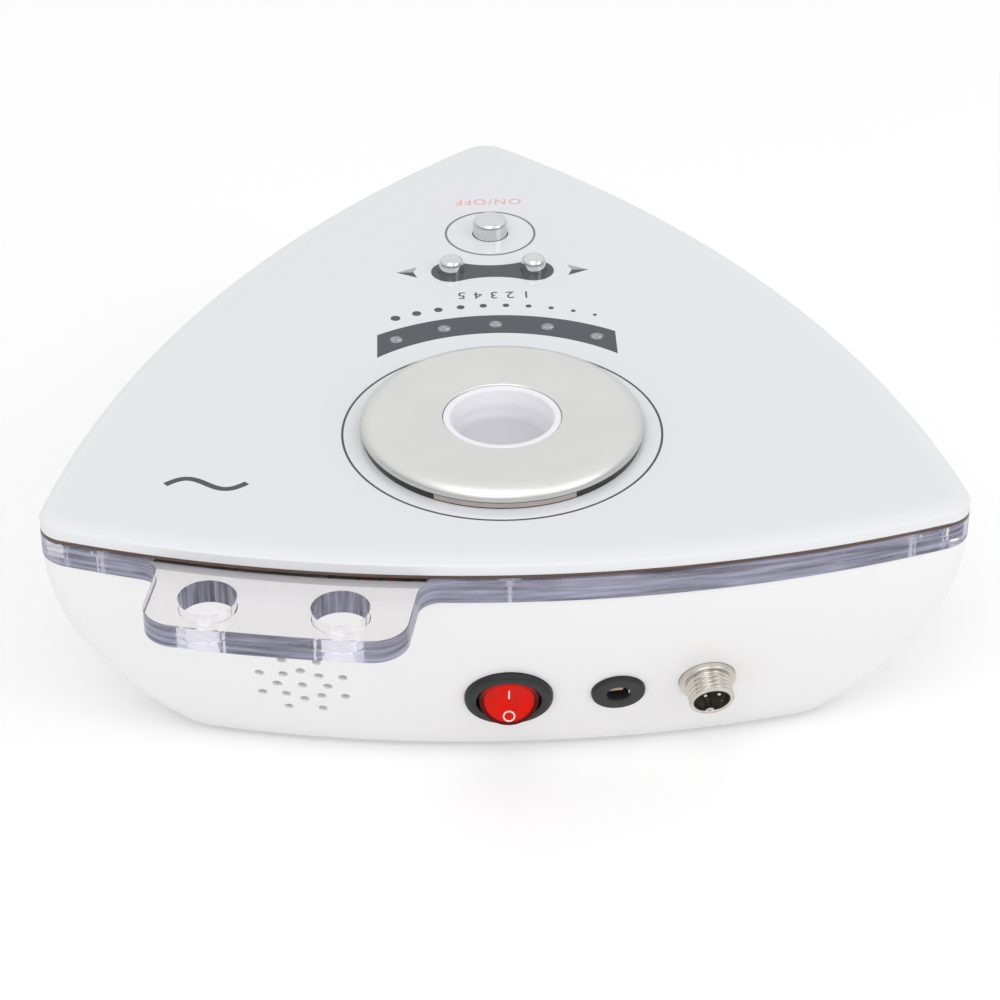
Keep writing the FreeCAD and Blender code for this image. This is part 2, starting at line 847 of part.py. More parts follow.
# Output transformer: ferrite core with a winding round its middle leg
core = block(core_width, core_depth, core_height, transformer_x, transformer_y, main_top)
window_width = (core_width - core_middle_leg) / 2 - core_leg
window_height = core_height - 2 * core_leg
window_low = main_top + core_leg
for side in (-1, 1):
    window_x = transformer_x + side * (core_middle_leg + window_width) / 2
    core = core.cut(block(window_width, core_depth, window_height, window_x, transformer_y, window_low))
pieces["transformer_core"] = core
winding_width = core_middle_leg + 2 * (window_width - winding_gap)
winding_depth = core_depth + 2 * winding_wall
winding = block(winding_width, winding_depth, window_height, transformer_x, transformer_y, window_low)
leg = block(core_middle_leg, core_depth, window_height, transformer_x, transformer_y, window_low)
pieces["transformer_winding"] = winding.cut(leg)

# Relay, and the smoothing capacitors beside it
relay_x = main_length / 2 - relay_edge - relay_length / 2
pieces["relay"] = block(relay_length, relay_width, relay_height, relay_x, relay_y, main_top)
capacitor_end = relay_x - relay_length / 2 - capacitor_gap
capacitor_x = capacitor_end - capacitor_radius - capacitor_spacing / 2
capacitors = []
for side in (-1, 1):
    x = capacitor_x + side * capacitor_spacing / 2
    can = rod(capacitor_radius, main_top, main_top + capacitor_height, x, capacitor_y)
    can = round_edges(can, capacitor_radius, main_top + capacitor_height, capacitor_radius / 6)
    capacitors.append(can)
pieces["capacitors"] = Part.makeCompound(capacitors)

# Finned heatsink with the two output transistors on its flat face
sink_x = main_length / 2 - sink_edge - sink_length / 2
sink_y = main_y - main_width / 2 + sink_front
sink = block(sink_length, sink_base, sink_height, sink_x, sink_y, main_top)
fins = []
fin_y = sink_y - (sink_base + sink_fin_depth) / 2
for step in range(sink_fins):
    fin_x = sink_x + (sink_length - sink_fin) * (step / (sink_fins - 1) - 0.5)
    fins.append(block(sink_fin, sink_fin_depth, sink_height, fin_x, fin_y, main_top))
pieces["heatsink"] = sink.fuse(fins).removeSplitter()
transistors = []
transistor_y = sink_y + (sink_base + transistor_thickness) / 2
for side in (-1, 1):
    x = sink_x + side * sink_length / 4
    low = main_top + transistor_lift
    body = block(transistor_width, transistor_thickness, transistor_height, x, transistor_y, low)
    legs = []
    for step in (-1, 0, 1):
        leg_x = x + step * transistor_width / 4
        legs.append(block(transistor_leg, transistor_leg, transistor_lift, leg_x, transistor_y, main_top))
    transistors.append(body.fuse(legs).removeSplitter())
pieces["output_transistors"] = Part.makeCompound(transistors)

# Sockets for the leads along the rear edge, and for the ribbon cable beside the heatsink
header_top = main_top + header_height
header_y = main_y + main_width / 2 - header_edge
lead_headers = {}
for step, name in enumerate(("socket", "jack", "switch", "sounder")):
    lead_headers[name] = (step - 1.5) * (header_length + header_gap)
ribbon_x = sink_x - (sink_length + ribbon_header_length) / 2 - ribbon_header_gap
ribbon_top_y = level_y + board_margin * 1.5
ribbon_low_y = main_y - main_width / 2 + header_edge
headers = []
for header_x in lead_headers.values():
    headers.append(block(header_length, header_width, header_height, header_x, header_y, main_top))
upper_header_low = board_bottom - header_height
for y, low in ((ribbon_low_y, main_top), (ribbon_top_y, upper_header_low)):
    headers.append(block(ribbon_header_length, header_width, header_height, ribbon_x, y, low))
pieces["lead_headers"] = Part.makeCompound(headers)

# Ribbon cable between the boards
ribbon_middle_z = (upper_header_low + header_top) / 2
ribbon_swing = (upper_header_low - header_top) / 6
ribbon_points = [
    Vector(ribbon_x, ribbon_top_y, upper_header_low),
    Vector(ribbon_x, ribbon_top_y, ribbon_middle_z + ribbon_swing),
    Vector(ribbon_x, ribbon_low_y, ribbon_middle_z - ribbon_swing),
    Vector(ribbon_x, ribbon_low_y, header_top),
]
ribbon_corners = []
for side_x, side_y in ((-1, -1), (1, -1), (1, 1), (-1, 1), (-1, -1)):
    corner_x = ribbon_x + side_x * ribbon_width / 2
    corner_y = ribbon_top_y + side_y * ribbon_thickness / 2
    ribbon_corners.append(Vector(corner_x, corner_y, upper_header_low))
pieces["ribbon_cable"] = lead(ribbon_points, Part.makePolygon(ribbon_corners), ribbon_bend)


# Rocker switch: bezel and body in one moulding, with a round window
body = turned((
    (0, -switch_depth),
    (switch_body_radius, -switch_depth),
    (switch_body_radius, 0),
    (bezel_radius, 0),
    (bezel_radius, bezel_height),
    (window_radius, bezel_height),
    (window_radius, -switch_chamber),
    (0, -switch_chamber),
))
body = round_edges(body, bezel_radius, bezel_height, bezel_round)
snap_top = -seat_wall - seat_clearance
snap_root = switch_body_radius - snap_reach
for side in (-1, 1):
    snap_corners = [
        Vector(-snap_width / 2, side * snap_root, snap_top),
        Vector(-snap_width / 2, side * (switch_body_radius + snap_reach), snap_top),
        Vector(-snap_width / 2, side * snap_root, snap_top - snap_height),
    ]
    snap = Part.Face(Part.makePolygon(snap_corners + snap_corners[:1]))
    body = body.fuse(snap.extrude(Vector(snap_width, 0, 0)))
pivot_hole = pivot_reach + pivot_clearance
bearing = Part.makeCylinder(
    pivot_radius + pivot_clearance, 2 * pivot_hole, Vector(-pivot_hole, 0, -pivot_depth), Vector(1, 0, 0)
)
pieces["switch_housing"] = placed(body.cut(bearing), switch_seat)

# Rocker: dished red paddle on two pivot stubs, resting with its upper end pressed
tilt = math.radians(rocker_tilt)
dish_middle = (bezel_height - rocker_sunk + pivot_depth) / math.cos(tilt)
dish_end = dish_middle + rocker_radius * math.tan(tilt)
rocker_profile = [
    Vector(-rocker_radius, 0, dish_middle),
    Vector(-rocker_radius, -rocker_radius, dish_end),
    Vector(-rocker_radius, -rocker_waist, -rocker_hub),
    Vector(-rocker_radius, -rocker_hub, -rocker_hub_depth),
    Vector(-rocker_radius, rocker_hub, -rocker_hub_depth),
    Vector(-rocker_radius, rocker_waist, -rocker_hub),
    Vector(-rocker_radius, rocker_radius, dish_end),
]
rocker = Part.Face(Part.makePolygon(rocker_profile + rocker_profile[:1]))
rocker = rocker.extrude(Vector(2 * rocker_radius, 0, 0))
rocker = rocker.common(rod(rocker_radius, -rocker_hub_depth, dish_end))
stubs = Part.makeCylinder(
    pivot_radius, 2 * pivot_reach, Vector(-pivot_reach, 0, 0), Vector(1, 0, 0)
)
rocker = rocker.fuse(stubs).removeSplitter()
rocker.rotate(Vector(), Vector(1, 0, 0), -rocker_tilt)
rocker.translate(Vector(0, 0, -pivot_depth))
pieces["switch_rocker"] = placed(rocker, switch_seat)
print("rocker pivot", switch_seat.multVec(Vector(0, 0, -pivot_depth)))

blades = []
switch_ends = []
for side in (-1, 1):
    low = -switch_depth - terminal_length
    blade = block(terminal_thickness, terminal_width, terminal_length, side * terminal_x, 0, low)
    blades.append(placed(blade, switch_seat))
    switch_ends.append(Vector(side * terminal_x, 0, low))
pieces["switch_terminals"] = Part.makeCompound(blades)

# Barrel power socket: flanged body, middle pin, spring strip and nut
body = turned((
    (0, -jack_depth),
    (jack_radius, -jack_depth),
    (jack_radius, 0),
    (jack_flange_radius, 0),
    (jack_flange_radius, jack_flange_height),
    (jack_bore, jack_flange_height),
    (jack_bore, -jack_bore_depth),
    (0, -jack_bore_depth),
))
body = round_edges(body, jack_flange_radius, jack_flange_height, jack_flange_round)
pin = rod(jack_pin_radius, -jack_depth - jack_pin_tail, -jack_pin_sunk)
pin = round_edges(pin, jack_pin_radius, -jack_pin_sunk, jack_pin_radius / 2)
strip_low = -jack_depth - jack_strip_tail
strip_length = -jack_strip_sunk - strip_low
strip = block(jack_strip_width, jack_strip_thickness, strip_length, 0, jack_strip_height, strip_low)
pieces["jack_body"] = placed(body.cut([pin, strip]), jack_seat)
pieces["jack_pin"] = placed(pin, jack_seat)
pieces["jack_spring_strip"] = placed(strip, jack_seat)
nut_low = -seat_wall - nut_height
nut = hexagon(jack_nut_radius, nut_low, -seat_wall)
nut = nut.cut(rod(jack_radius + thread_clearance, nut_low, -seat_wall))
pieces["jack_nut"] = placed(nut, jack_seat)
jack_ends = [
    Vector(0, 0, -jack_depth - jack_pin_tail),
    Vector(0, jack_strip_height, strip_low),
]

# Threaded round socket: nickel shell with a key, dark insert, pins and nut
socket_mouth = socket_flange_height + socket_thread_length
shell_body = turned((
    (socket_bore, -socket_depth),
    (socket_thread_radius, -socket_depth),
    (socket_thread_radius, 0),
    (socket_flange_radius, 0),
    (socket_flange_radius, socket_flange_height),
    (socket_thread_radius, socket_flange_height),
    (socket_thread_radius, socket_mouth),
    (socket_bore, socket_mouth),
))
insert_top = socket_mouth - socket_recess
key_y = -socket_bore + socket_key_height / 2
key = block(socket_key_width, socket_key_height, socket_recess, 0, key_y, insert_top)
key_root = key.translated(Vector(0, -socket_key_height / 2, 0))
key = key.fuse(key_root.common(rod(socket_thread_radius, insert_top, socket_mouth)))
pieces["socket_shell"] = placed(shell_body.fuse(key).removeSplitter(), socket_seat)
insert = rod(socket_bore, -socket_depth, insert_top)
pins = []
socket_ends = []
for step in range(socket_pin_count):
    spot = polar(socket_pin_reach, 360.0 / socket_pin_count * (step + 0.5))
    tail = -socket_depth - socket_pin_tail
    pin_top = socket_mouth - socket_pin_sunk
    pin = rod(socket_pin_radius, tail, pin_top, spot.x, spot.y)
    pins.append(round_edges(pin, socket_pin_radius, pin_top, socket_pin_radius / 2))
    socket_ends.append(Vector(spot.x, spot.y, tail))
pieces["socket_insert"] = placed(insert.cut(pins), socket_seat)
pieces["socket_pins"] = placed(Part.makeCompound(pins), socket_seat)
nut = hexagon(socket_nut_radius, nut_low, -seat_wall)
nut = nut.cut(rod(socket_thread_radius + thread_clearance, nut_low, -seat_wall))
pieces["socket_nut"] = placed(nut, socket_seat)
print("socket mouth", socket_seat.multVec(Vector(0, 0, socket_mouth)), socket_seat.Rotation.multVec(up))

# Sounder: round can with a front chamber and two pins, in the bowl's tube behind the grille
sounder_front = -sounder_wall
sounder_back = sounder_front - sounder_depth
can = rod(sounder_radius, sounder_back, sounder_front)
can = can.cut(rod(sounder_chamber_radius, sounder_front - sounder_chamber, sounder_front))
sounder_ends = []
sounder_pins = []
for side in (-1, 1):
    x = side * sounder_pin_reach
    pin_low = sounder_back - sounder_pin_length
    sounder_pins.append(rod(sounder_pin_radius, pin_low, sounder_back, x, 0))
    sounder_ends.append(Vector(x, 0, pin_low))
pieces["sounder"] = placed(can.fuse(sounder_pins).removeSplitter(), sounder_seat)


# Leads from the rear fittings to their sockets on the main board
lead_ends = {
    "switch": (switch_seat, switch_ends),
    "jack": (jack_seat, jack_ends),
    "socket": (socket_seat, [socket_ends[1], socket_ends[0]]),
    "sounder": (sounder_seat, sounder_ends),
}
for name, (seat, ends) in lead_ends.items():
    tubes = []
    for side, end in zip((1, -1), ends):
        start = seat.multVec(end)
        inward = seat.Rotation.multVec(-up)
        foot = Vector(lead_headers[name] + side * lead_half_spacing, header_y, header_top)
        route = [start, start + inward * lead_run, foot + up * lead_drop, foot]
        tubes.append(lead(route, round_section(start, inward, lead_radius), lead_bend))
    pieces[name + "_leads"] = Part.makeCompound(tubes)


# Origin: middle of the footprint, on the surface below the feet
footprint = pieces["accessory_plate"].optimalBoundingBox(False, False)
shift = Vector(0, -(footprint.YMin + footprint.YMax) / 2, 0)
print("shift", shift)
for name, shape in pieces.items():
    shape.translate(shift)
    shape.exportStep("parts/" + name + ".step")
    if not shape.isValid():
        print("not valid:", name)
print(len(pieces), "nodes")
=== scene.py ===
import math

import bpy
from mathutils import Matrix, Vector


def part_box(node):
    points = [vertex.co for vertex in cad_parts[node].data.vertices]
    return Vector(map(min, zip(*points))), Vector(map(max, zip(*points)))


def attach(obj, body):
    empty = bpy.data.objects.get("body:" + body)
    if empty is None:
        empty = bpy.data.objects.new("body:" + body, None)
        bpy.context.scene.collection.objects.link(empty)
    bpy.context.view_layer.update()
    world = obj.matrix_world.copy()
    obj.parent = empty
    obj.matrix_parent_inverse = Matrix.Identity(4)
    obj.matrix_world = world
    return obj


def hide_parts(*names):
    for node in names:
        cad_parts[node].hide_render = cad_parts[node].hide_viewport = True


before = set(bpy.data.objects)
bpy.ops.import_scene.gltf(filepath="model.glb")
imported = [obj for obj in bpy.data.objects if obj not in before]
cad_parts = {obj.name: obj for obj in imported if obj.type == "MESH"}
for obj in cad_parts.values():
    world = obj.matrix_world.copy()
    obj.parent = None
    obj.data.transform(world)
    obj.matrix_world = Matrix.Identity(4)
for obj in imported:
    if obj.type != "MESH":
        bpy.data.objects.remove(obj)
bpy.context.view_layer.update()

# Lower bowl: one deep white ABS moulding, satin smooth, that everything else is fastened to. Its walls sweep
# in from a triangular rim with arched sides to a smaller base. The rear wall has a ring of sound holes and
# three flat seats, and inside stand the bosses for the plate screws and the pillars of the main board.
mm = 0.001
disc_low, disc_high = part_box("metal_disc")
disc_middle = (disc_low + disc_high) / 2
disc_offset = 30 * mm
plan_y = disc_middle.y - disc_offset
panel_reach = 127.6 * mm
panel_corner = 8.4 * mm
panel_side = 91 * mm
bowl_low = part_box("lower_shell")[0].z
bowl_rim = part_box("lower_shell")[1].z
bowl_height = bowl_rim - bowl_low
rim_step = 0.2 * mm
base_tip = 103 * mm
base_corner = 20 * mm
base_side = 70.2 * mm
corner_sweep = 1.88
side_sweep = 1.3
bowl_wall = 3 * mm
base_round = 2 * mm
wall_rings = 48
corner_steps = 20
side_steps = 64
weld = 0.001 * mm
origin = Vector((0, 0))


def polar(radius, degrees):
    return Vector((math.cos(math.radians(degrees)), math.sin(math.radians(degrees)))) * radius


def arc(middle, radius, start, sweep, steps):
    """Points along an arc in plan, without its last one. Angles are in radians."""
    points = []
    for step in range(steps):
        angle = start + sweep * step / steps
        points.append(middle + Vector((math.cos(angle), math.sin(angle))) * radius)
    return points


def heading(way):
    return math.atan2(way.y, way.x)


def arc_between(middle, radius, first, last, steps, clockwise=False):
    """Arc about a middle from the direction of one vector to that of another."""
    sweep = (heading(last) - heading(first)) % math.tau
    if clockwise:
        sweep -= math.tau
    return arc(middle, radius, heading(first), sweep, steps)


def arch_radius(reach, corner, side):
    """Radius of the arched sides that meet three corner arcs smoothly."""
    lean = reach / 2 - side
    return (lean ** 2 + 0.75 * reach ** 2 - corner ** 2) / (-2 * corner - 2 * lean)


def triangle_outline(reach, corner, side):
    """Outline in plan about the middle of the triangle: corner arcs at reach, joined by arched sides."""
    arch = arch_radius(reach, corner, side)
    points = []
    for here, after, before in ((-90, 30, 150), (30, 150, -90), (150, -90, 30)):
        tip = polar(reach, here)
        next_tip = polar(reach, after)
        arriving = polar(arch - side, after)
        leaving = polar(arch - side, before)
        points += arc_between(tip, corner, tip - arriving, tip - leaving, corner_steps)
        points += arc_between(leaving, arch, tip - leaving, next_tip - leaving, side_steps)
    return points


def level_ring(outline, z):
    """Outline in plan, set into the frame at a height."""
    return [Vector((point.x, point.y + plan_y, z)) for point in outline]


def in_plan(place):
    """Upright seat at a place in plan."""
    return Matrix.Translation((place.x, place.y + plan_y, 0))


def cleaned(piece, capped):
    """Welds the active piece, closes it if asked to and turns its faces outward."""
    bpy.ops.object.mode_set(mode="EDIT")
    bpy.ops.mesh.select_all(action="SELECT")
    bpy.ops.mesh.remove_doubles(threshold=weld)
    if capped:
        bpy.ops.mesh.fill_holes(sides=0)
    bpy.ops.mesh.normals_make_consistent(inside=False)
    bpy.ops.object.mode_set(mode="OBJECT")
    return piece


def skin(name, rings, capped=True):
    """Surface drawn through rings of equally many points: a circle, extruded ring by ring and shaped."""
    count = len(rings[0])
    bpy.ops.object.select_all(action="DESELECT")
    bpy.ops.mesh.primitive_circle_add(vertices=count, radius=1)
    piece = bpy.context.object
    piece.name = name
    bpy.ops.object.mode_set(mode="EDIT")
    for step in range(len(rings) - 1):
        bpy.ops.mesh.extrude_region_move(TRANSFORM_OT_translate={"value": (0, 0, 1)})
    bpy.ops.object.mode_set(mode="OBJECT")
    for vertex in piece.data.vertices:
        place = round((heading(vertex.co) / math.tau - 0.25) * count) % count
        vertex.co = rings[round(vertex.co.z)][place]
    return cleaned(piece, capped)


def hold(piece):
    """Makes one piece the only selected one."""
    bpy.ops.object.select_all(action="DESELECT")
    piece.select_set(True)
    bpy.context.view_layer.objects.active = piece


def seated(piece, seat):
    """Moves a piece from its own axes to a seat, with the place kept in its mesh."""
    hold(piece)
    piece.matrix_world = seat
    bpy.ops.object.transform_apply(location=True, rotation=True, scale=True)
    return piece


def turned(name, profile, seat=Matrix(), segments=96, capped=True):
    """Turned piece from radius and height pairs, set on its seat."""
    rings = []
    for radius, z in profile:
        circle = arc(origin, radius, 0, math.tau, segments)
        rings.append([Vector((point.x, point.y, z)) for point in circle])
    return seated(skin(name, rings, capped), seat)


def combined(piece, tools, operation):
    """Joins or cuts a piece with other meshes, which it uses up."""
    hold(tools[0])
    for tool in tools:
        tool.select_set(True)
    if len(tools) > 1:
        bpy.ops.object.join()
    tool = bpy.context.object
    hold(piece)
    modifier = piece.modifiers.new("shape", "BOOLEAN")
    modifier.operation = operation
    modifier.solver = "EXACT"
    modifier.use_self = len(tools) > 1
    modifier.material_mode = "TRANSFER"
    modifier.object = tool
    bpy.ops.object.modifier_apply(modifier=modifier.name)
    bpy.data.objects.remove(tool)
    return piece


def bowl_outline(depth, inset):
    """Outline of the bowl at a depth below its rim, drawn in by an inset."""
    share = depth / bowl_height
    rim_corner = panel_corner - rim_step
    rim_tip = panel_reach + rim_corner
    rim_side = panel_side - rim_step
    tip = rim_tip + (base_tip - rim_tip) * share ** corner_sweep
    corner = rim_corner + (base_corner - rim_corner) * share ** corner_sweep
    side = rim_side + (base_side - rim_side) * share ** side_sweep
    return tip - corner, corner - inset, side - inset


bowl_rings = []
for step in range(wall_rings + 1):
    depth = bowl_height * (1 - step / wall_rings)
    bowl_rings.append(level_ring(triangle_outline(*bowl_outline(depth, 0)), bowl_rim - depth))
for step in range(wall_rings + 1):
    depth = (bowl_height - bowl_wall) * step / wall_rings
    bowl_rings.append(level_ring(triangle_outline(*bowl_outline(depth, bowl_wall)), bowl_rim - depth))
bowl = skin("lower_bowl", bowl_rings)

bpy.context.tool_settings.mesh_select_mode = (False, True, False)
hold(bowl)
bpy.ops.object.mode_set(mode="EDIT")
bpy.ops.mesh.select_all(action="DESELECT")
bpy.ops.object.mode_set(mode="OBJECT")
for edge in bowl.data.edges:
    heights = [bowl.data.vertices[corner].co.z for corner in edge.vertices]
    edge.select = max(heights) - bowl_low < weld
bpy.ops.object.mode_set(mode="EDIT")
bpy.ops.mesh.bevel(offset=base_round, segments=6, affect="EDGES")
bpy.ops.object.mode_set(mode="OBJECT")


def rear_wall_y(x, z):
    reach, corner, side = bowl_outline(bowl_rim - z, 0)
    arch = arch_radius(reach, corner, side)
    return math.sqrt(arch ** 2 - x ** 2) - (arch - side) + plan_y


def wall_seat(x, z, sunk):
    """Seat on the rear wall: local Z outward, local Y up the wall, sunk into the surface."""
    step = 0.5 * mm
    slope_x = (rear_wall_y(x + step, z) - rear_wall_y(x - step, z)) / (2 * step)
    slope_z = (rear_wall_y(x, z + step) - rear_wall_y(x, z - step)) / (2 * step)
    outward = Vector((-slope_x, 1, -slope_z)).normalized()
    across = Vector((0, 0, 1)).cross(outward).normalized()
    upward = outward.cross(across)
    turn = Matrix((across, upward, outward)).transposed().to_4x4()
    point = Vector((x, rear_wall_y(x, z), z)) - outward * sunk
    return Matrix.Translation(point) @ turn


def rod(radius, low, high, seat=Matrix(), segments=48):
    return turned("rod", [(radius, low), (radius, high)], seat, segments)


seat_depth = 0.4 * mm
seat_gap = 0.15 * mm
switch_seat = wall_seat(0, 24.1 * mm, seat_depth)
jack_seat = wall_seat(-28.5 * mm, 24.7 * mm, seat_depth)
socket_seat = wall_seat(-51.7 * mm, 26.9 * mm, seat_depth)
grille_seat = wall_seat(53.5 * mm, 27.4 * mm, 0)
switch_radius = 11.5 * mm
switch_body_radius = 10 * mm
jack_flange_radius = 7 * mm
jack_body_radius = 5.5 * mm
socket_flange_radius = 7.4 * mm
socket_thread_radius = 6 * mm
jack_nut_radius = 7.6 * mm
socket_nut_radius = 8.1 * mm
inner_side = -14 * mm
seat_wall = 2 * mm
plate_screw_radius = 1.5 * mm
boss_radius = 3 * mm
boss_depth = 11 * mm
pilot_depth = 0.9 * boss_depth
corner_screw_reach = 122.9 * mm
corner_screw_turn = 3.9
side_screw_reach = 85 * mm
screw_places = [polar(side_screw_reach, angle) for angle in (90, 210, 330)]
for angle in (-90, 30, 150):
    screw_places.append(polar(corner_screw_reach, angle - corner_screw_turn))
    screw_places.append(polar(corner_screw_reach, angle + corner_screw_turn))
board_low, board_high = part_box("main_board")
board_hole_edge = 5 * mm
pillar_radius = 4 * mm
pillar_root = 1 * mm

pillars = [rod(boss_radius, bowl_rim - boss_depth, bowl_rim, in_plan(place)) for place in screw_places]
for x in (board_low.x + board_hole_edge, board_high.x - board_hole_edge):
    for y in (board_low.y + board_hole_edge, board_high.y - board_hole_edge):
        pillars.append(rod(pillar_radius, bowl_low + pillar_root, board_low.z, Matrix.Translation((x, y, 0))))
combined(bowl, pillars, "UNION")

cuts = []
for seat, flange, body, nut in (
    (switch_seat, switch_radius, switch_body_radius, switch_radius),
    (jack_seat, jack_flange_radius, jack_body_radius, jack_nut_radius),
    (socket_seat, socket_flange_radius, socket_thread_radius, socket_nut_radius),
):
    steps = [
        (nut + seat_gap, inner_side),
        (nut + seat_gap, -seat_wall),
        (body + seat_gap, -seat_wall),
        (body + seat_gap, 0),
        (flange + seat_gap, 0),
        (flange + seat_gap, seat_wall),
    ]
    cuts.append(turned("cut", steps, seat))
hole_radius = 1.22 * mm
hole_round = 0.25 * mm
hole_depth = 6 * mm
inner_holes = 6.6 * mm
outer_holes = 11.8 * mm
hole_turn = 45
hole_places = [origin]
for step in range(8):
    hole_places.append(polar(inner_holes, hole_turn * step))
    hole_places.append(polar(outer_holes, hole_turn * (step + 0.5)))
hole_profile = [
    (hole_radius, -hole_depth),
    (hole_radius, -hole_round),
    (hole_radius + hole_round, 0.4 * hole_round),
    (hole_radius + hole_round, hole_depth),
]
for place in hole_places:
    cuts.append(turned("cut", hole_profile, grille_seat @ Matrix.Translation((place.x, place.y, 0)), 32))
for place in screw_places:
    cuts.append(rod(plate_screw_radius, bowl_rim - pilot_depth, bowl_rim + mm, in_plan(place), 24))
combined(bowl, cuts, "DIFFERENCE")


def node(tree, kind, inputs, **settings):
    """Shader node with its settings and inputs. An input that is another node's output is linked."""
    made = tree.nodes.new(kind)
    for name, value in settings.items():
        setattr(made, name, value)
    for name, value in inputs.items():
        if isinstance(value, bpy.types.NodeSocket):
            tree.links.new(value, made.inputs[name])
        else:
            made.inputs[name].default_value = value
    return made


def ramp(tree, value, stops):
    """Colours or greys by a value, from pairs of position and colour."""
    made = node(tree, "ShaderNodeValToRGB", {"Fac": value})
    elements = made.color_ramp.elements
    while len(elements) < len(stops):
        elements.new(1.0)
    for element, (position, colour) in zip(elements, stops):
        element.position = position
        element.color = (*colour, 1)
    return made.outputs["Color"]


def ranged(tree, value, start, end, first=0.0, last=1.0, **settings):
    """Value carried from one range to another and held at its ends."""
    made = node(tree, "ShaderNodeMapRange", {
        "Value": value, "From Min": start, "From Max": end, "To Min": first, "To Max": last,
    }, **settings)
    return made.outputs["Result"]


def object_place(tree):
    return node(tree, "ShaderNodeTexCoord", {}).outputs["Object"]


def feed(tree, socket, value):
    """Links a value to the shader of a finish."""
    tree.links.new(value, tree.nodes["Principled BSDF"].inputs[socket])


def emboss(tree, height, strength, distance):
    """Relief of a finish from a height."""
    bump = node(tree, "ShaderNodeBump", {"Height": height, "Strength": strength, "Distance": distance})
    feed(tree, "Normal", bump.outputs["Normal"])


# Marks that all the finishes share: a fine grain from the tool or the blasting, and broad soft handling haze
marks = bpy.data.node_groups.new("surface_marks", "ShaderNodeTree")
marks.interface.new_socket("Vector", in_out="INPUT", socket_type="NodeSocketVector")
for name in ("Grain", "Haze"):
    marks.interface.new_socket(name + " Scale", in_out="INPUT", socket_type="NodeSocketFloat")
    marks.interface.new_socket(name, in_out="OUTPUT", socket_type="NodeSocketFloat")
marks_in = marks.nodes.new("NodeGroupInput").outputs
marks_out = marks.nodes.new("NodeGroupOutput").inputs
for name, detail, fading in (("Grain", 3.0, 0.6), ("Haze", 1.0, 0.4)):
    noise = node(marks, "ShaderNodeTexNoise", {
        "Vector": marks_in["Vector"], "Scale": marks_in[name + " Scale"],
        "Detail": detail, "Roughness": fading,
    })
    marks.links.new(noise.outputs["Fac"], marks_out[name])


def surface(name, colours, rough, grain_scale, haze_scale, bump, **constants):
    """Finish whose colour and roughness drift with the haze, over a fine grain in its relief."""
    material = bpy.data.materials.new(name)
    material.use_nodes = True
    tree = material.node_tree
    spots = node(tree, "ShaderNodeGroup", {
        "Vector": object_place(tree), "Grain Scale": grain_scale, "Haze Scale": haze_scale,
    }, node_tree=marks).outputs
    feed(tree, "Base Color", ramp(tree, spots["Haze"], [(0.1, colours[0]), (0.9, colours[1])]))
    feed(tree, "Roughness", ranged(tree, spots["Haze"], 0.1, 0.9, *rough))
    emboss(tree, spots["Grain"], bump, 0.05 * mm)
    for socket, value in constants.items():
        tree.nodes["Principled BSDF"].inputs[socket.replace("_", " ")].default_value = value
    return material


def dress(piece, material, body, nodes=(), crease=30):
    """Smooth shading up to a crease, the finish, and what the piece rides on and stands for."""
    hold(piece)
    bpy.ops.object.shade_smooth_by_angle(angle=math.radians(crease))
    if material is not None:
        piece.data.materials.clear()
        piece.data.materials.append(material)
    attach(piece, body)
    if nodes:
        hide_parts(*nodes)
    return piece


shell_white = [(0.898, 0.889, 0.889), (0.903, 0.894, 0.894)]
white_shell = surface("white_shell", shell_white, (0.272, 0.284), 2600, 30, 0.12)
dress(bowl, white_shell, "housing", ["lower_shell"])
grille_wall = surface(
    "grille_wall", shell_white, (0.4, 0.5), 2600, 30, 0.12,
    Subsurface_Weight=1.0, Subsurface_Scale=1.5 * mm, Subsurface_Radius=(1, 1, 1),
)
bowl.data.materials.append(grille_wall)
from_wall = grille_seat.inverted()
wall_reach = hole_radius + 0.03 * mm
for face in bowl.data.polygons:
    spot = from_wall @ face.center
    nearest = min((spot.xy - place).length for place in hole_places)
    if abs(spot.z) < hole_depth and nearest < wall_reach:
        face.material_index = 1

# Rubber feet: three black discs, cut from sheet with a rounded lower edge and stuck in shallow recesses
# of the bowl's floor. The rubber is matte and picks up a little dust.
foot_rubber = surface(
    "foot_rubber", [(0.03, 0.03, 0.03), (0.055, 0.054, 0.052)], (0.7, 0.9), 3000, 220, 0.6,
)


def paint(material, *nodes):
    """Gives carried-over pieces their finish."""
    for name in nodes:
        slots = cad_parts[name].data.materials
        slots.clear()
        slots.append(material)


paint(foot_rubber, "rubber_feet")

# Circuit boards: green solder mask over glass fibre, with a faint weave, copper runs that show as lighter
# bands and tinned pads. The main board stands on the bowl's pillars, the control board hangs on spacers.
circuit_board = surface(
    "circuit_board", [(0.018, 0.11, 0.045), (0.03, 0.16, 0.07)], (0.25, 0.4), 2500, 300, 0.15,
)
tree = circuit_board.node_tree
runs = node(tree, "ShaderNodeTexBrick", {
    "Vector": object_place(tree), "Scale": 110.0, "Mortar Size": 0.035, "Mortar Smooth": 0.1,
    "Color1": (0.018, 0.11, 0.045, 1), "Color2": (0.025, 0.14, 0.06, 1), "Mortar": (0.06, 0.30, 0.12, 1),
    "Brick Width": 0.9, "Row Height": 0.35,
})
feed(tree, "Base Color", runs.outputs["Color"])
paint(circuit_board, "main_board", "control_board")

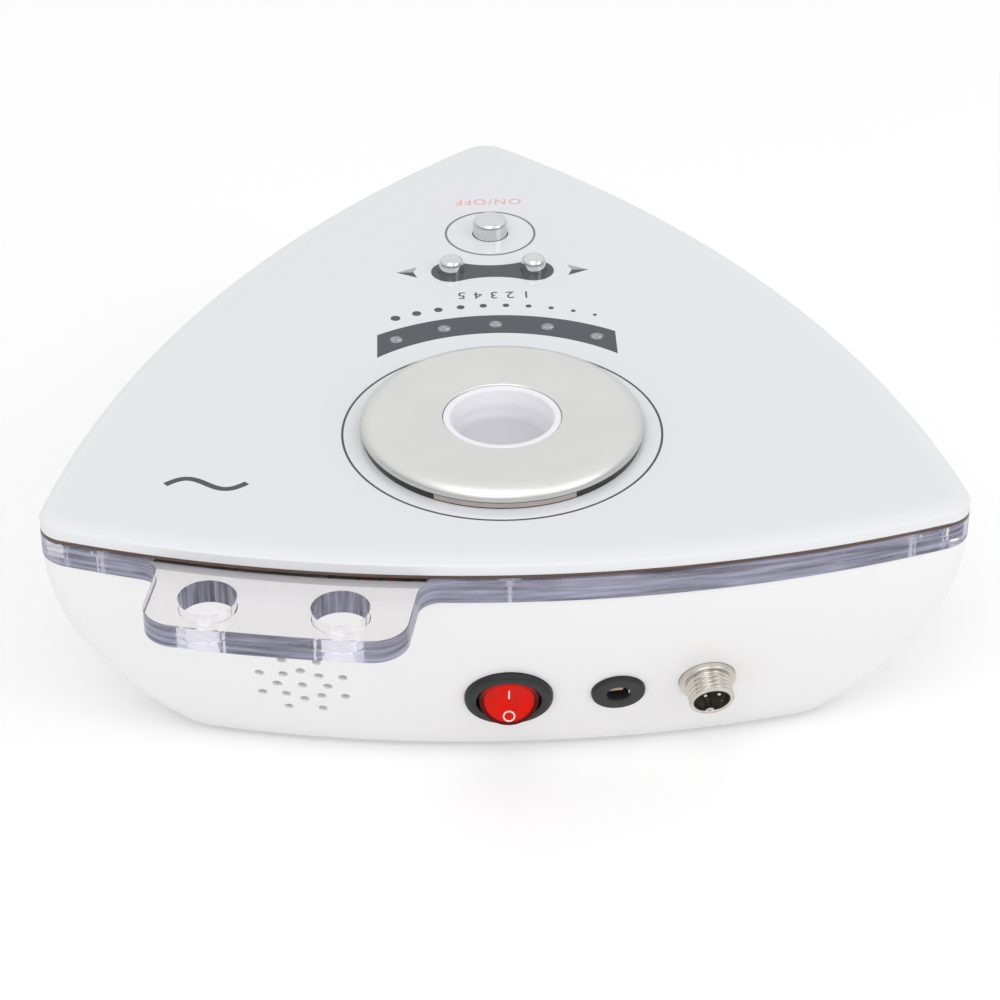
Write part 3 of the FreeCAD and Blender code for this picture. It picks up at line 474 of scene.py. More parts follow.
# Parts on the main board: ferrite transformer with an enamelled copper winding, sleeved capacitors, an
# extruded heatsink with two transistors, a relay and the sockets of the leads, all soldered to the board.
ferrite = surface("ferrite", [(0.05, 0.05, 0.055), (0.09, 0.09, 0.095)], (0.55, 0.75), 1800, 160, 0.5)
paint(ferrite, "transformer_core")
copper_winding = surface(
    "copper_winding", [(0.50, 0.19, 0.06), (0.62, 0.27, 0.10)], (0.2, 0.35), 1500, 200, 0.2, Metallic=1.0,
)


def ribbed(material, scale, distortion, direction, strength):
    """Rows of round wires that stand out of a finish."""
    tree = material.node_tree
    wires = node(tree, "ShaderNodeTexWave", {
        "Vector": object_place(tree), "Scale": scale, "Distortion": distortion,
    }, bands_direction=direction)
    emboss(tree, wires.outputs["Fac"], strength, 0.3 * mm)


ribbed(copper_winding, 330.0, 0.2, "Z", 0.9)
paint(copper_winding, "transformer_winding")
capacitor_can = surface(
    "capacitor_can", [(0.02, 0.025, 0.05), (0.03, 0.035, 0.065)], (0.2, 0.3), 2200, 180, 0.1,
)
paint(capacitor_can, "capacitors")
heatsink_metal = surface(
    "heatsink_metal", [(0.42, 0.43, 0.45), (0.50, 0.51, 0.53)], (0.35, 0.5), 2400, 150, 0.35, Metallic=1.0,
)
paint(heatsink_metal, "heatsink")
black_plastic = surface(
    "black_plastic", [(0.012, 0.012, 0.013), (0.022, 0.022, 0.023)], (0.4, 0.55), 2600, 200, 0.35,
)
paint(black_plastic, "output_transistors", "relay", "tact_switches", "sounder")
paint(black_plastic, "power_plunger", "level_up_plunger", "level_down_plunger")
natural_plastic = surface(
    "natural_plastic", [(0.72, 0.69, 0.62), (0.78, 0.75, 0.69)], (0.35, 0.5), 2400, 140, 0.2,
)
paint(natural_plastic, "lead_headers", "cup_lock_ring")

# Screws and spacers: zinc plated steel, cold formed, with fine tool marks. They hold the plate, the disc and
# the two boards.
steel_screw = surface(
    "steel_screw", [(0.55, 0.55, 0.56), (0.66, 0.66, 0.67)], (0.22, 0.38), 2800, 260, 0.25, Metallic=1.0,
)
paint(steel_screw, "plate_screws", "disc_screws", "control_board_screws", "main_board_screws")

# Leads: red insulated wire from each rear fitting to its socket on the main board, and a grey ribbon cable
# with a line between its conductors from there up to the control board.
lead_insulation = surface(
    "lead_insulation", [(0.42, 0.02, 0.018), (0.50, 0.035, 0.03)], (0.35, 0.5), 2400, 160, 0.2,
)
paint(lead_insulation, "switch_leads", "jack_leads", "socket_leads", "sounder_leads")
ribbon_insulation = surface(
    "ribbon_insulation", [(0.36, 0.36, 0.38), (0.44, 0.44, 0.46)], (0.4, 0.5), 2400, 160, 0.2,
)
ribbed(ribbon_insulation, 250.0, 0.0, "X", 0.8)
paint(ribbon_insulation, "ribbon_cable")


# Rocker switch, housing: bezel and body in one dark grey nylon moulding with a fine matte texture, snapped
# into the rear wall. The round window in the bezel opens into the chamber of the rocker.
def rounded(corners, steps=6):
    """Open line of corners, each with its two coordinates and the radius that it is rounded to."""
    points = []
    for index, (x, y, radius) in enumerate(corners):
        spot = Vector((x, y))
        if radius == 0 or index in (0, len(corners) - 1):
            points.append(spot)
            continue
        back = (Vector(corners[index - 1][:2]) - spot).normalized()
        forward = (Vector(corners[index + 1][:2]) - spot).normalized()
        half = back.angle(forward) / 2
        middle = spot + (back + forward).normalized() * (radius / math.sin(half))
        enter = spot + back * (radius / math.tan(half))
        leave = spot + forward * (radius / math.tan(half))
        turn = (leave - middle).angle_signed(enter - middle)
        points += arc(middle, radius, heading(enter - middle), turn, steps)
        points.append(leave)
    return points


bezel_height = 2 * mm
window_radius = 8.5 * mm
switch_depth = 14 * mm
switch_chamber = 9 * mm
housing_profile = rounded([
    (switch_body_radius, -switch_depth, 0),
    (switch_body_radius, 0, 0),
    (switch_radius, 0, 0),
    (switch_radius, bezel_height, 1.1 * mm),
    (window_radius, bezel_height, 0.35 * mm),
    (window_radius, -switch_chamber, 0),
    (0.5 * mm, -switch_chamber, 0),
])
switch_housing = turned("rocker_switch_housing", housing_profile, switch_seat)
dark_grey_plastic = surface(
    "dark_grey_plastic", [(0.018, 0.019, 0.021), (0.025, 0.026, 0.028)], (0.42, 0.55), 3200, 240, 0.5,
    Specular_IOR_Level=0.3,
)
dress(switch_housing, dark_grey_plastic, "housing", ["switch_housing"])
brass_contact = surface(
    "brass_contact", [(0.62, 0.46, 0.20), (0.72, 0.55, 0.27)], (0.2, 0.35), 2600, 240, 0.2, Metallic=1.0,
)
paint(brass_contact, "switch_terminals")

# Rocker: dished paddle in clear red polycarbonate on two stubs in the housing. Its face has a fine moulded
# grid inside a smooth margin. A white bar and ring are printed on its two ends.
rocker_radius = 7.4 * mm
rocker_width = 7.75 * mm
rocker_tilt = math.radians(15)
pivot_depth = 1 * mm
rocker_sunk = 0.4 * mm
stub_radius = 1.3 * mm
stub_reach = 9.2 * mm
dish_middle = (bezel_height - rocker_sunk + pivot_depth) / math.cos(rocker_tilt)
dish_end = dish_middle + rocker_radius * math.tan(rocker_tilt)
hub = 2.6 * mm
hub_depth = 4.6 * mm
waist = 6 * mm
side_profile = [
    Vector((0, dish_middle)),
    Vector((-rocker_radius, dish_end)),
    Vector((-waist, -hub)),
    Vector((-hub, -hub_depth)),
    Vector((hub, -hub_depth)),
    Vector((waist, -hub)),
    Vector((rocker_radius, dish_end)),
]
rocker_ends = []
for x in (-rocker_width, rocker_width):
    rocker_ends.append([Vector((x, point.x, point.y)) for point in side_profile])
rocker = skin("rocker_paddle", rocker_ends)
widened = Matrix.Diagonal((rocker_width / rocker_radius, 1, 1, 1))
combined(rocker, [rod(rocker_radius, -2 * hub_depth, 2 * dish_end, widened, 96)], "INTERSECT")
hold(rocker)
edges = rocker.modifiers.new("edges", "BEVEL")
edges.width = 0.3 * mm
edges.segments = 3
edges.limit_method = "ANGLE"
edges.angle_limit = math.radians(40)
bpy.ops.object.modifier_apply(modifier=edges.name)
sideways = Matrix.Rotation(math.pi / 2, 4, "Y")
combined(rocker, [rod(stub_radius, -stub_reach, stub_reach, sideways, 32)], "UNION")
grid_map = rocker.data.uv_layers.new(name="face_grid")
for loop in rocker.data.loops:
    grid_map.data[loop.index].uv = rocker.data.vertices[loop.vertex_index].co.xy / mm
pivot_seat = switch_seat @ Matrix.Translation((0, 0, -pivot_depth))
rocker_seat = pivot_seat @ Matrix.Rotation(-rocker_tilt, 4, "X")
seated(rocker, rocker_seat)

red_rocker = surface(
    "red_rocker", [(0.62, 0.008, 0.006), (0.70, 0.016, 0.010)], (0.18, 0.26), 1800, 200, 0.05,
    Specular_IOR_Level=0.1,
)
grid_pitch = 0.48
grid_edge = (6.7, 6.3)
painted_margin_shade = (4.6, 2.0)


def maths(tree, operation, first, second):
    return node(tree, "ShaderNodeMath", {0: first, 1: second}, operation=operation).outputs["Value"]


tree = red_rocker.node_tree
on_face = node(tree, "ShaderNodeUVMap", {}, uv_map="face_grid").outputs["UV"]
cells = node(tree, "ShaderNodeTexBrick", {
    "Vector": on_face, "Scale": 1 / grid_pitch, "Mortar Size": 0.16, "Mortar Smooth": 0.6,
    "Brick Width": 1.0, "Row Height": 1.0, "Color1": (1, 1, 1, 1), "Color2": (0.85, 0.85, 0.85, 1),
    "Mortar": (0, 0, 0, 1),
}, offset=0.0)
from_middle = node(tree, "ShaderNodeVectorMath", {0: on_face}, operation="LENGTH")
inside = ranged(tree, from_middle.outputs["Value"], *grid_edge)
raised = maths(tree, "MULTIPLY", cells.outputs["Color"], inside)
emboss(tree, raised, 0.8, 0.15 * mm)
# Painted shade: the grid's grooves and the whole margin are coloured darker, and the margin away from the
# upper end gets a still darker painted shade.
grid_colour_and_groove_shade = ramp(tree, raised, [
    (0.0, (0.50, 0.003, 0.001)), (0.6, (0.90, 0.010, 0.004)), (1.0, (1.0, 0.018, 0.006)),
])
up_face = node(tree, "ShaderNodeSeparateXYZ", {0: on_face})
shade_below_top = ranged(tree, up_face.outputs["Y"], *painted_margin_shade)
face_colour_and_margin_shade = node(tree, "ShaderNodeMix", {
    "Factor": maths(tree, "MULTIPLY", maths(tree, "SUBTRACT", 1.0, inside), shade_below_top),
    6: grid_colour_and_groove_shade, 7: (0.10, 0.004, 0.003, 1),
}, data_type="RGBA")
feed(tree, "Base Color", face_colour_and_margin_shade.outputs[2])
dress(rocker, red_rocker, "rocker", ["switch_rocker"], crease=35)

mark_thickness = 0.06 * mm
mark_line = 0.37 * mm
bar_half = 1.95 * mm
bar_place = 2.1 * mm
ring_radius = 1.42 * mm
ring_place = 4.8 * mm


def dish_seat(place):
    """Seat on the rocker's dished face, up or down from its middle."""
    turn = rocker_tilt if place > 0 else -rocker_tilt
    lift = dish_middle + abs(place) * math.tan(rocker_tilt)
    return rocker_seat @ Matrix.Translation((0, place, lift)) @ Matrix.Rotation(turn, 4, "X")


def slab(name, outline, low, high, seat=Matrix()):
    """Thin flat piece of any outline in plan, between two heights."""
    rings = [[Vector((point.x, point.y, z)) for point in outline] for z in (low, high)]
    return seated(skin(name, rings), seat)


def hoop(inner, outer, low, high):
    """Closed profile of a plain ring."""
    return [(inner, low), (outer, low), (outer, high), (inner, high), (inner, low)]


line_half = mark_line / 2
bar_corners = ((-line_half, -bar_half), (line_half, -bar_half), (line_half, bar_half), (-line_half, bar_half))
bar_outline = [Vector(corner) for corner in bar_corners]
bar_mark = slab("rocker_bar_mark", bar_outline, -mark_thickness, mark_thickness, dish_seat(bar_place))
ring_profile = hoop(ring_radius - line_half, ring_radius + line_half, -mark_thickness, mark_thickness)
ring_mark = turned("rocker_ring_mark", ring_profile, dish_seat(-ring_place), 48, capped=False)
white_ink = surface("white_ink", [(0.80, 0.78, 0.77), (0.86, 0.85, 0.84)], (0.35, 0.5), 5000, 700, 0.2)
for piece in (bar_mark, ring_mark):
    dress(piece, white_ink, "rocker")

# Barrel power socket: dark nylon body with a flat flange outside and a nut inside, round a sprung contact
# strip and a middle pin that stand in its bore.
jack_flange = 1.5 * mm
jack_bore = 3.1 * mm
jack_depth = 12 * mm
jack_bore_depth = 9.5 * mm
jack_profile = rounded([
    (jack_body_radius, -jack_depth, 0),
    (jack_body_radius, 0, 0),
    (jack_flange_radius, 0, 0),
    (jack_flange_radius, jack_flange, 0.5 * mm),
    (jack_bore, jack_flange, 0.3 * mm),
    (jack_bore, -jack_bore_depth, 0),
    (0.5 * mm, -jack_bore_depth, 0),
])
jack = turned("power_socket_body", jack_profile, jack_seat)
dress(jack, dark_grey_plastic, "housing", ["jack_body"])
paint(dark_grey_plastic, "jack_nut")
nickel = surface(
    "nickel", [(0.58, 0.54, 0.49), (0.72, 0.69, 0.64)], (0.16, 0.28), 2600, 300, 0.12, Metallic=1.0,
)
paint(nickel, "jack_pin", "jack_spring_strip", "board_spacers", "socket_nut")
leaf_corners = ((-3.0, 0.3), (0.9, 0.5), (1.3, 0.9), (1.2, 1.4), (0.8, 1.6), (-2.6, 1.6))
leaf_outline = [Vector((x * mm, y * mm)) for x, y in leaf_corners]
leaf = slab("power_socket_leaf", leaf_outline, 0.15 * mm, 0.5 * mm, jack_seat)
stop_start = -0.25
stop_sweep = 0.6
stop_outline = arc(origin, jack_bore - 0.03 * mm, stop_start, stop_sweep, 12)
stop_outline += arc(origin, jack_bore - 0.4 * mm, stop_start + stop_sweep, -stop_sweep, 12)
stop = slab("power_socket_stop", stop_outline, -0.6 * mm, 0.9 * mm, jack_seat)
bronze = surface(
    "bronze", [(0.34, 0.25, 0.17), (0.50, 0.38, 0.27)], (0.3, 0.42), 2500, 700, 0.3, Metallic=1.0,
)
dress(leaf, bronze, "housing")
dress(stop, nickel, "housing")

# Threaded round socket for the handpiece lead: turned brass shell, nickel plated, with a flange, a cut
# thread and a key in its mouth. Four pins stand in a dark moulded insert. A nut inside holds it.
flange_height = 2 * mm
thread_pitch = 1.25 * mm
thread_depth = 0.5 * mm
mouth = 7.5 * mm
mouth_bore = 4.8 * mm
thread_ring = 0.125 * mm
lip = 0.3 * mm
thread_start = flange_height + 0.2 * mm
thread_end = mouth - lip
run_in = 0.4 * mm
flank_slope = 1.6
crest_flat = 0.3
shell_tail = -9 * mm
shell_segments = 96


def thread_radius(angle, z):
    """Radius on the cut thread, which fades out near the flange and at the mouth."""
    phase = (z / thread_pitch - angle / math.tau) % 1
    cut = min(1, max(0, flank_slope * abs(2 * phase - 1) - crest_flat))
    start_fade = max(0, (z - thread_start) / run_in)
    end_fade = max(0, (thread_end - z) / lip)
    return socket_thread_radius - thread_depth * cut * min(1, start_fade, end_fade)


shell_profile = rounded([
    (mouth_bore, shell_tail, 0),
    (socket_thread_radius, shell_tail, 0),
    (socket_thread_radius, 0, 0),
    (socket_flange_radius, 0, 0),
    (socket_flange_radius, flange_height, 0.45 * mm),
    (socket_thread_radius, flange_height, 0),
])
thread_steps = round((thread_end - flange_height) / thread_ring)
for step in range(1, thread_steps + 1):
    shell_profile.append(Vector((socket_thread_radius, flange_height + step * thread_ring)))
shell_profile += rounded([
    (socket_thread_radius - lip, mouth, 0),
    (mouth_bore, mouth, 0.2 * mm),
    (mouth_bore, shell_tail, 0),
])
shell_rings = []
for radius, z in shell_profile:
    ring = []
    for step in range(shell_segments):
        angle = math.tau * step / shell_segments
        on_thread = abs(radius - socket_thread_radius) < weld and z > flange_height
        reach = thread_radius(angle, z) if on_thread else radius
        ring.append(Vector((reach * math.cos(angle), reach * math.sin(angle), z)))
    shell_rings.append(ring)
socket_shell = skin("round_socket_shell", shell_rings, capped=False)
key_half = 1.15 * mm
key_length = 5 * mm
key_root = -mouth_bore - 0.5 * mm
key_bend = 0.1 * mm - mouth_bore
key_outline = [Vector((-key_half, key_root)), Vector((key_half, key_root))]
key_outline += arc(Vector((0, key_bend)), key_half, 0, math.pi, 12)
key_outline.append(Vector((-key_half, key_bend)))
key = slab("key", key_outline, mouth - key_length, thread_end)
combined(socket_shell, [key], "UNION")
seated(socket_shell, socket_seat)
dress(socket_shell, nickel, "housing", ["socket_shell"], crease=40)
phenolic = surface("phenolic", [(0.006, 0.004, 0.003), (0.012, 0.008, 0.006)], (0.4, 0.55), 2600, 200, 0.35)
paint(phenolic, "socket_insert")
pin_place = 1.84 * mm
pin_radius = 0.5 * mm
pin_tail = -13 * mm
long_pin = 6.9 * mm
short_pin = 3.2 * mm
pins = []
for x, y, pin_top in ((1, 1, long_pin), (-1, 1, long_pin), (-1, -1, short_pin), (1, -1, short_pin)):
    steps = rounded([
        (0.05 * mm, pin_tail, 0), (pin_radius, pin_tail, 0), (pin_radius, pin_top, 0.3 * mm),
        (0.05 * mm, pin_top, 0),
    ])
    pins.append(turned("pin", steps, socket_seat @ Matrix.Translation((x * pin_place, y * pin_place, 0)), 24))
socket_pins = combined(pins[0], pins[1:], "UNION")
socket_pins.name = "round_socket_pins"
dress(socket_pins, nickel, "housing", ["socket_pins"])

# Clear accessory plate: thick cast acrylic sheet, laser cut and polished, screwed on the bowl's rim. Its tab
# on the rack side has two holes for handpieces. Round heads of its screws sit in counterbores.
overhang = 1 * mm
face_gap = 0.03 * mm
plate_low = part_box("accessory_plate")[0].z + face_gap
plate_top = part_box("accessory_plate")[1].z - face_gap
plate_reach = panel_reach - overhang
plate_corner = panel_corner + overhang
plate_side = panel_side + overhang
plate_arch = arch_radius(plate_reach, plate_corner, plate_side)
rack_shift = 55.5 * mm
rack_turn = rack_shift / plate_arch
rack_half_width = 33.2 * mm
rack_reach = 25.9 * mm
rack_corner = 9 * mm
rack_root = 6 * mm
rack_hole = 7.2 * mm
rack_hole_reach = 12.2 * mm
rack_hole_spacing = 16.7 * mm
rack_hole_shift = 1.3 * mm
edge_round = 0.2 * mm
rear_middle = polar(plate_arch - plate_side, -90)
rack_along = Vector((math.sin(rack_turn), math.cos(rack_turn)))
rack_across = Vector((math.cos(rack_turn), -math.sin(rack_turn)))


def rack_spot(across, distance):
    """Place on the tab: across it, and at a distance from the middle of the rear arch."""
    return rear_middle + rack_across * across + rack_along * math.sqrt(distance ** 2 - across ** 2)


def plate_outline(inset):
    """Outline of the plate with its rack tab, drawn in by an inset."""
    arch = plate_arch - inset
    outer = plate_arch + rack_reach - inset
    half = rack_half_width - inset
    root = rack_root + inset
    bend = rack_corner - inset
    around = triangle_outline(plate_reach, plate_corner - inset, plate_side - inset)
    per_side = corner_steps + side_steps
    front_part = around[:per_side + corner_steps]
    rear_tips = [polar(plate_reach, 30), polar(plate_reach, 150)]
    roots = [rack_spot(turn * (half + root), arch + root) for turn in (1, -1)]
    bends = [rack_spot(turn * (half - bend), outer - bend) for turn in (1, -1)]
    tab = arc_between(rear_middle, arch, rear_tips[0] - rear_middle, roots[0] - rear_middle, 20)
    tab += arc_between(roots[0], root, rear_middle - roots[0], -rack_across, 8, clockwise=True)
    tab.append(roots[0] - rack_across * root)
    tab += arc_between(bends[0], bend, rack_across, bends[0] - rear_middle, 10)
    tab += arc_between(rear_middle, outer, bends[0] - rear_middle, bends[1] - rear_middle, 24)
    tab += arc_between(bends[1], bend, bends[1] - rear_middle, -rack_across, 10)
    tab.append(bends[1] - rack_across * bend)
    tab += arc_between(roots[1], root, rack_across, rear_middle - roots[1], 8, clockwise=True)
    tab += arc_between(rear_middle, arch, roots[1] - rear_middle, rear_tips[1] - rear_middle, 40)
    return front_part + tab + around[2 * per_side:]


margin_width = 1.7 * mm
plate_rings = []
for inset, z in (
    (edge_round, plate_low),
    (0, plate_low + edge_round),
    (0, plate_top - edge_round),
    (edge_round, plate_top),
    (margin_width, plate_top),
):
    plate_rings.append(level_ring(plate_outline(inset), z))
plate = skin("clear_accessory_plate", plate_rings)
opening_reach = 84 * mm
opening_corner = 12 * mm
opening_side = 66 * mm
opening = triangle_outline(opening_reach, opening_corner, opening_side)
opening_ends = [level_ring(opening, z) for z in (plate_low - mm, plate_top + mm)]
opening_cut = skin("cut", opening_ends)
rack_profile = [
    (rack_hole + 2 * edge_round, plate_low - edge_round),
    (rack_hole, plate_low + edge_round),
    (rack_hole, plate_top - edge_round),
    (rack_hole + 2 * edge_round, plate_top + edge_round),
]
cuts = [opening_cut]
for across in (rack_hole_shift - rack_hole_spacing, rack_hole_shift + rack_hole_spacing):
    spot = rear_middle + rack_across * across + rack_along * (plate_arch + rack_hole_reach)
    cuts.append(turned("cut", rack_profile, in_plan(spot)))
screw_clearance = 1.7 * mm
head_radius = 3.2 * mm
head_seat = plate_top - 3.2 * mm
screw_profile = [
    (screw_clearance, plate_low - mm), (screw_clearance, head_seat),
    (head_radius, head_seat), (head_radius, plate_top + mm),
]
cuts += [turned("cut", screw_profile, in_plan(place), 48) for place in screw_places]
acrylic_ior = 1.49


def acrylic(name, colours, frost, inside):
    """Clear acrylic with a share of frosted surface, from outside and from inside. Lamp light passes."""
    material = surface(name, colours, (0.25, 0.45), 1500, 120, 0.3, IOR=acrylic_ior)
    tree = material.node_tree
    frosted = tree.nodes["Principled BSDF"].outputs["BSDF"]
    clear = node(tree, "ShaderNodeBsdfGlass", {
        "Color": (0.948, 0.943, 0.945, 1), "Roughness": 0.005, "IOR": acrylic_ior,
    })
    side = node(tree, "ShaderNodeNewGeometry", {})
    share = node(tree, "ShaderNodeMapRange", {
        "Value": side.outputs["Backfacing"], "To Min": frost, "To Max": inside,
    })
    share.name = "frost"
    solid = node(tree, "ShaderNodeMixShader", {
        0: share.outputs["Result"], 1: clear.outputs["BSDF"], 2: frosted,
    })
    path = node(tree, "ShaderNodeLightPath", {})
    see_through = node(tree, "ShaderNodeBsdfTransparent", {"Color": (0.84, 0.84, 0.87, 1)})
    lit = node(tree, "ShaderNodeMixShader", {
        0: path.outputs["Is Shadow Ray"], 1: solid.outputs["Shader"], 2: see_through.outputs["BSDF"],
    })
    tree.links.new(lit.outputs["Shader"], tree.nodes["Material Output"].inputs["Surface"])
    return material


clear_acrylic = acrylic("clear_acrylic", [(0.90, 0.90, 0.93), (0.95, 0.95, 0.97)], 0.01, 0.01)
violet = [(0.62, 0.62, 0.84), (0.72, 0.72, 0.95)]
drilled_edge = acrylic("drilled_edge", violet, 0.2, 0.06)
sawn_edge = acrylic("sawn_edge", violet, 0.28, 0.28)
strokes = [
    (drilled_edge, (700, 700, 45), (0.03, 0.42), ["To Min"]),
    (sawn_edge, (45, 45, 900), (0.14, 0.52), ["To Min", "To Max"]),
]
for material, scale, shares, sides in strokes:
    tree = material.node_tree
    along = node(tree, "ShaderNodeMapping", {"Vector": object_place(tree), "Scale": scale})
    streaks = node(tree, "ShaderNodeTexNoise", {
        "Vector": along.outputs["Vector"], "Scale": 1.0, "Detail": 3.0,
    })
    frosting = ranged(tree, streaks.outputs["Fac"], 0.32, 0.68, *shares)
    for side in sides:
        tree.links.new(frosting, tree.nodes["frost"].inputs[side])
ground_edge = surface("ground_edge", [(0.62, 0.62, 0.72), (0.68, 0.68, 0.78)], (0.7, 0.9), 1500, 120, 0.4)
plate.data.materials.append(clear_acrylic)
plate.data.materials.append(sawn_edge)
for face in plate.data.polygons:
    from_arch = (face.center.xy - Vector((rear_middle.x, rear_middle.y + plan_y))).length
    on_tab = face.normal.z > 0.9 and from_arch > plate_arch
    face.material_index = 1 if len(face.vertices) == 4 and not on_tab else 0
opening_cut.data.materials.append(ground_edge)
for cut in cuts[1:3]:
    cut.data.materials.append(drilled_edge)
for cut in cuts[3:]:
    cut.data.materials.append(clear_acrylic)
combined(plate, cuts, "DIFFERENCE")
dress(plate, None, "housing", ["accessory_plate"])

# Bonding tape: thin dark brown foam tape between the clear plate and the panel. Only its edge shows, as a
# dark line below the panel.
dark_tape = surface("dark_tape", [(0.10, 0.066, 0.05), (0.18, 0.12, 0.09)], (0.6, 0.8), 1500, 90, 0.5)
paint(dark_tape, "bonding_tape")

# Top panel: cast acrylic sheet painted white on its underside, with a polished upper edge that falls away in
# a shallow curve. It is stuck on the tape and drilled for the cup, the buttons and the lights.
panel_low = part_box("top_panel")[0].z
panel_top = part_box("top_panel")[1].z
bevel_width = 7.5 * mm
bevel_height = 1.4 * mm
bevel_steps = 12


def panel_ring(inset, z):
    return level_ring(triangle_outline(panel_reach, panel_corner - inset, panel_side - inset), z)


panel_rings = [panel_ring(edge_round, panel_low), panel_ring(0, panel_low + edge_round)]
for step in range(bevel_steps + 1):
    angle = math.pi / 2 * step / bevel_steps
    inset = bevel_width * (1 - math.cos(angle))
    panel_rings.append(panel_ring(inset, panel_top - bevel_height * (1 - math.sin(angle))))
panel = skin("top_panel_sheet", panel_rings)
power_place = Vector((0, -78 * mm))
level_places = [Vector((11.8 * mm, -56 * mm)), Vector((-11.8 * mm, -56 * mm))]
disc_place = Vector((0, disc_offset))
light_arc = 55.5 * mm
light_turn = 15
light_places = [disc_place + polar(light_arc, light_turn * step - 90) for step in (-2, -1, 0, 1, 2)]
power_radius = 5 * mm
level_radius = 3.5 * mm
light_radius = 1.75 * mm
light_gap = 0.05 * mm
cup_radius = 15.65 * mm
hole_gap = 0.25 * mm
drills = [(disc_place, cup_radius + hole_gap), (power_place, power_radius + hole_gap)]
level_drills = [(place, level_radius + hole_gap) for place in level_places]
light_drills = [(place, light_radius + light_gap) for place in light_places]


def drilled(piece, drills, low, segments):
    """Drills a piece from the panel's top down to below a height, at places with their radii."""
    cuts = [rod(radius, low - mm, panel_top + mm, in_plan(place), segments) for place, radius in drills]
    return combined(piece, cuts, "DIFFERENCE")


drilled(panel, drills + level_drills + light_drills, panel_low, 64)
white_panel = surface(
    "white_panel", [(0.745, 0.755, 0.785), (0.760, 0.770, 0.800)], (0.05, 0.08), 1200, 18, 0.01,
    IOR=acrylic_ior,
)


def painted_light_by_height(material, start, end, stops):
    """Paints light and shade into a finish's colour, by the share of the way from one height to another."""
    tree = material.node_tree
    place = node(tree, "ShaderNodeSeparateXYZ", {0: object_place(tree)})
    feed(tree, "Base Color", ramp(tree, ranged(tree, place.outputs["Z"], start, end), stops))


# Painted highlight: the bevelled edge below the flat top is coloured lighter than the top, standing in for
# the bright polished edge.
painted_light_by_height(white_panel, panel_top - 0.02 * mm, panel_top - 0.35 * mm, [
    (0.0, (0.768, 0.778, 0.805)), (1.0, (0.80, 0.81, 0.83)),
])
dress(panel, white_panel, "housing", ["top_panel"])

# Printing on the panel: slate grey screen ink round the disc, the power button and the level buttons, dots
# of falling size, plain numbers and a wave, with the switch words in red. The ink stands just proud.
ink_thickness = 0.04 * mm
ink_top = panel_top + ink_thickness
slate_ink = surface("slate_ink", [(0.040, 0.045, 0.061), (0.050, 0.055, 0.071)], (0.12, 0.2), 4000, 300, 0.05)
pale_ink = surface("pale_ink", [(0.34, 0.35, 0.38), (0.42, 0.43, 0.46)], (0.12, 0.2), 4000, 300, 0.05)
red_ink = surface("red_ink", [(0.78, 0.38, 0.38), (0.82, 0.44, 0.44)], (0.12, 0.2), 4000, 300, 0.05)
grey_ink = surface("grey_ink", [(0.17, 0.175, 0.19), (0.20, 0.205, 0.22)], (0.3, 0.4), 2500, 260, 0.05)


def printed(name, outline, ink, middle=origin):
    """Flat print on the panel from an outline about a middle."""
    piece = slab(name, outline, panel_top, ink_top, in_plan(middle))
    return dress(piece, ink, "housing")


def printed_ring(name, middle, radius, line, ink):
    """Printed line round a middle."""
    profile = hoop(radius - line / 2, radius + line / 2, panel_top, ink_top)
    ring = turned(name, profile, in_plan(middle), 160, capped=False)
    return dress(ring, ink, "housing")


def printed_field(name, outline, middle, holes, segments):
    """Slate print about a middle, drilled for what comes up through the panel."""
    field = slab(name, outline, panel_top, ink_top, in_plan(middle))
    return dress(drilled(field, holes, panel_top, segments), slate_ink, "housing")


printed_ring("print_disc_ring", disc_place, 42.2 * mm, 0.6 * mm, slate_ink)
printed_ring("print_power_ring", power_place, 12.95 * mm, 0.65 * mm, grey_ink)

lobe_radius = 5.8 * mm
lobe_x = 11.8 * mm
waist_half = 3.35 * mm
gain = lobe_radius - waist_half
dent_y = (lobe_x ** 2 - gain ** 2) / (2 * gain)
dent_radius = dent_y - waist_half
lobes = [Vector((lobe_x, 0)), Vector((-lobe_x, 0))]
dents = [Vector((0, dent_y)), Vector((0, -dent_y))]
bone = arc_between(lobes[0], lobe_radius, dents[1] - lobes[0], dents[0] - lobes[0], 28)
bone += arc_between(dents[0], dent_radius, lobes[0] - dents[0], lobes[1] - dents[0], 16, clockwise=True)
bone += arc_between(lobes[1], lobe_radius, dents[0] - lobes[1], dents[1] - lobes[1], 28)
bone += arc_between(dents[1], dent_radius, lobes[1] - dents[1], lobes[0] - dents[1], 16, clockwise=True)
level_row = Vector((0, -55.6 * mm))
printed_field("print_level_field", bone, level_row, level_drills, 64)

band_outer = 60.5 * mm
band_inner = 50.8 * mm
band_half = 33 * mm
outer_turn = math.asin(band_half / band_outer)
inner_turn = math.asin(band_half / band_inner)
down = -math.pi / 2
band_outline = arc(origin, band_outer, down - outer_turn, 2 * outer_turn, 40)
band_outline += arc(origin, band_outer, down + outer_turn, 0, 1)
band_outline += arc(origin, band_inner, down + inner_turn, -2 * inner_turn, 40)
band_outline += arc(origin, band_inner, down - inner_turn, 0, 1)
printed_field("print_light_band", band_outline, disc_place, light_drills, 48)

dot_arc = 66 * mm
dot_largest = 2.75 * mm
dot_smallest = 1.15 * mm
dot_count = 10
dot_spread = 50
for step in range(dot_count):
    share = step / (dot_count - 1)
    size = dot_largest + (dot_smallest - dot_largest) * share
    place = disc_place + polar(dot_arc, dot_spread / 2 - dot_spread * share - 90)
    printed("print_dot_%d" % (step + 1), arc(origin, size / 2, 0, math.tau, 32), slate_ink, place)

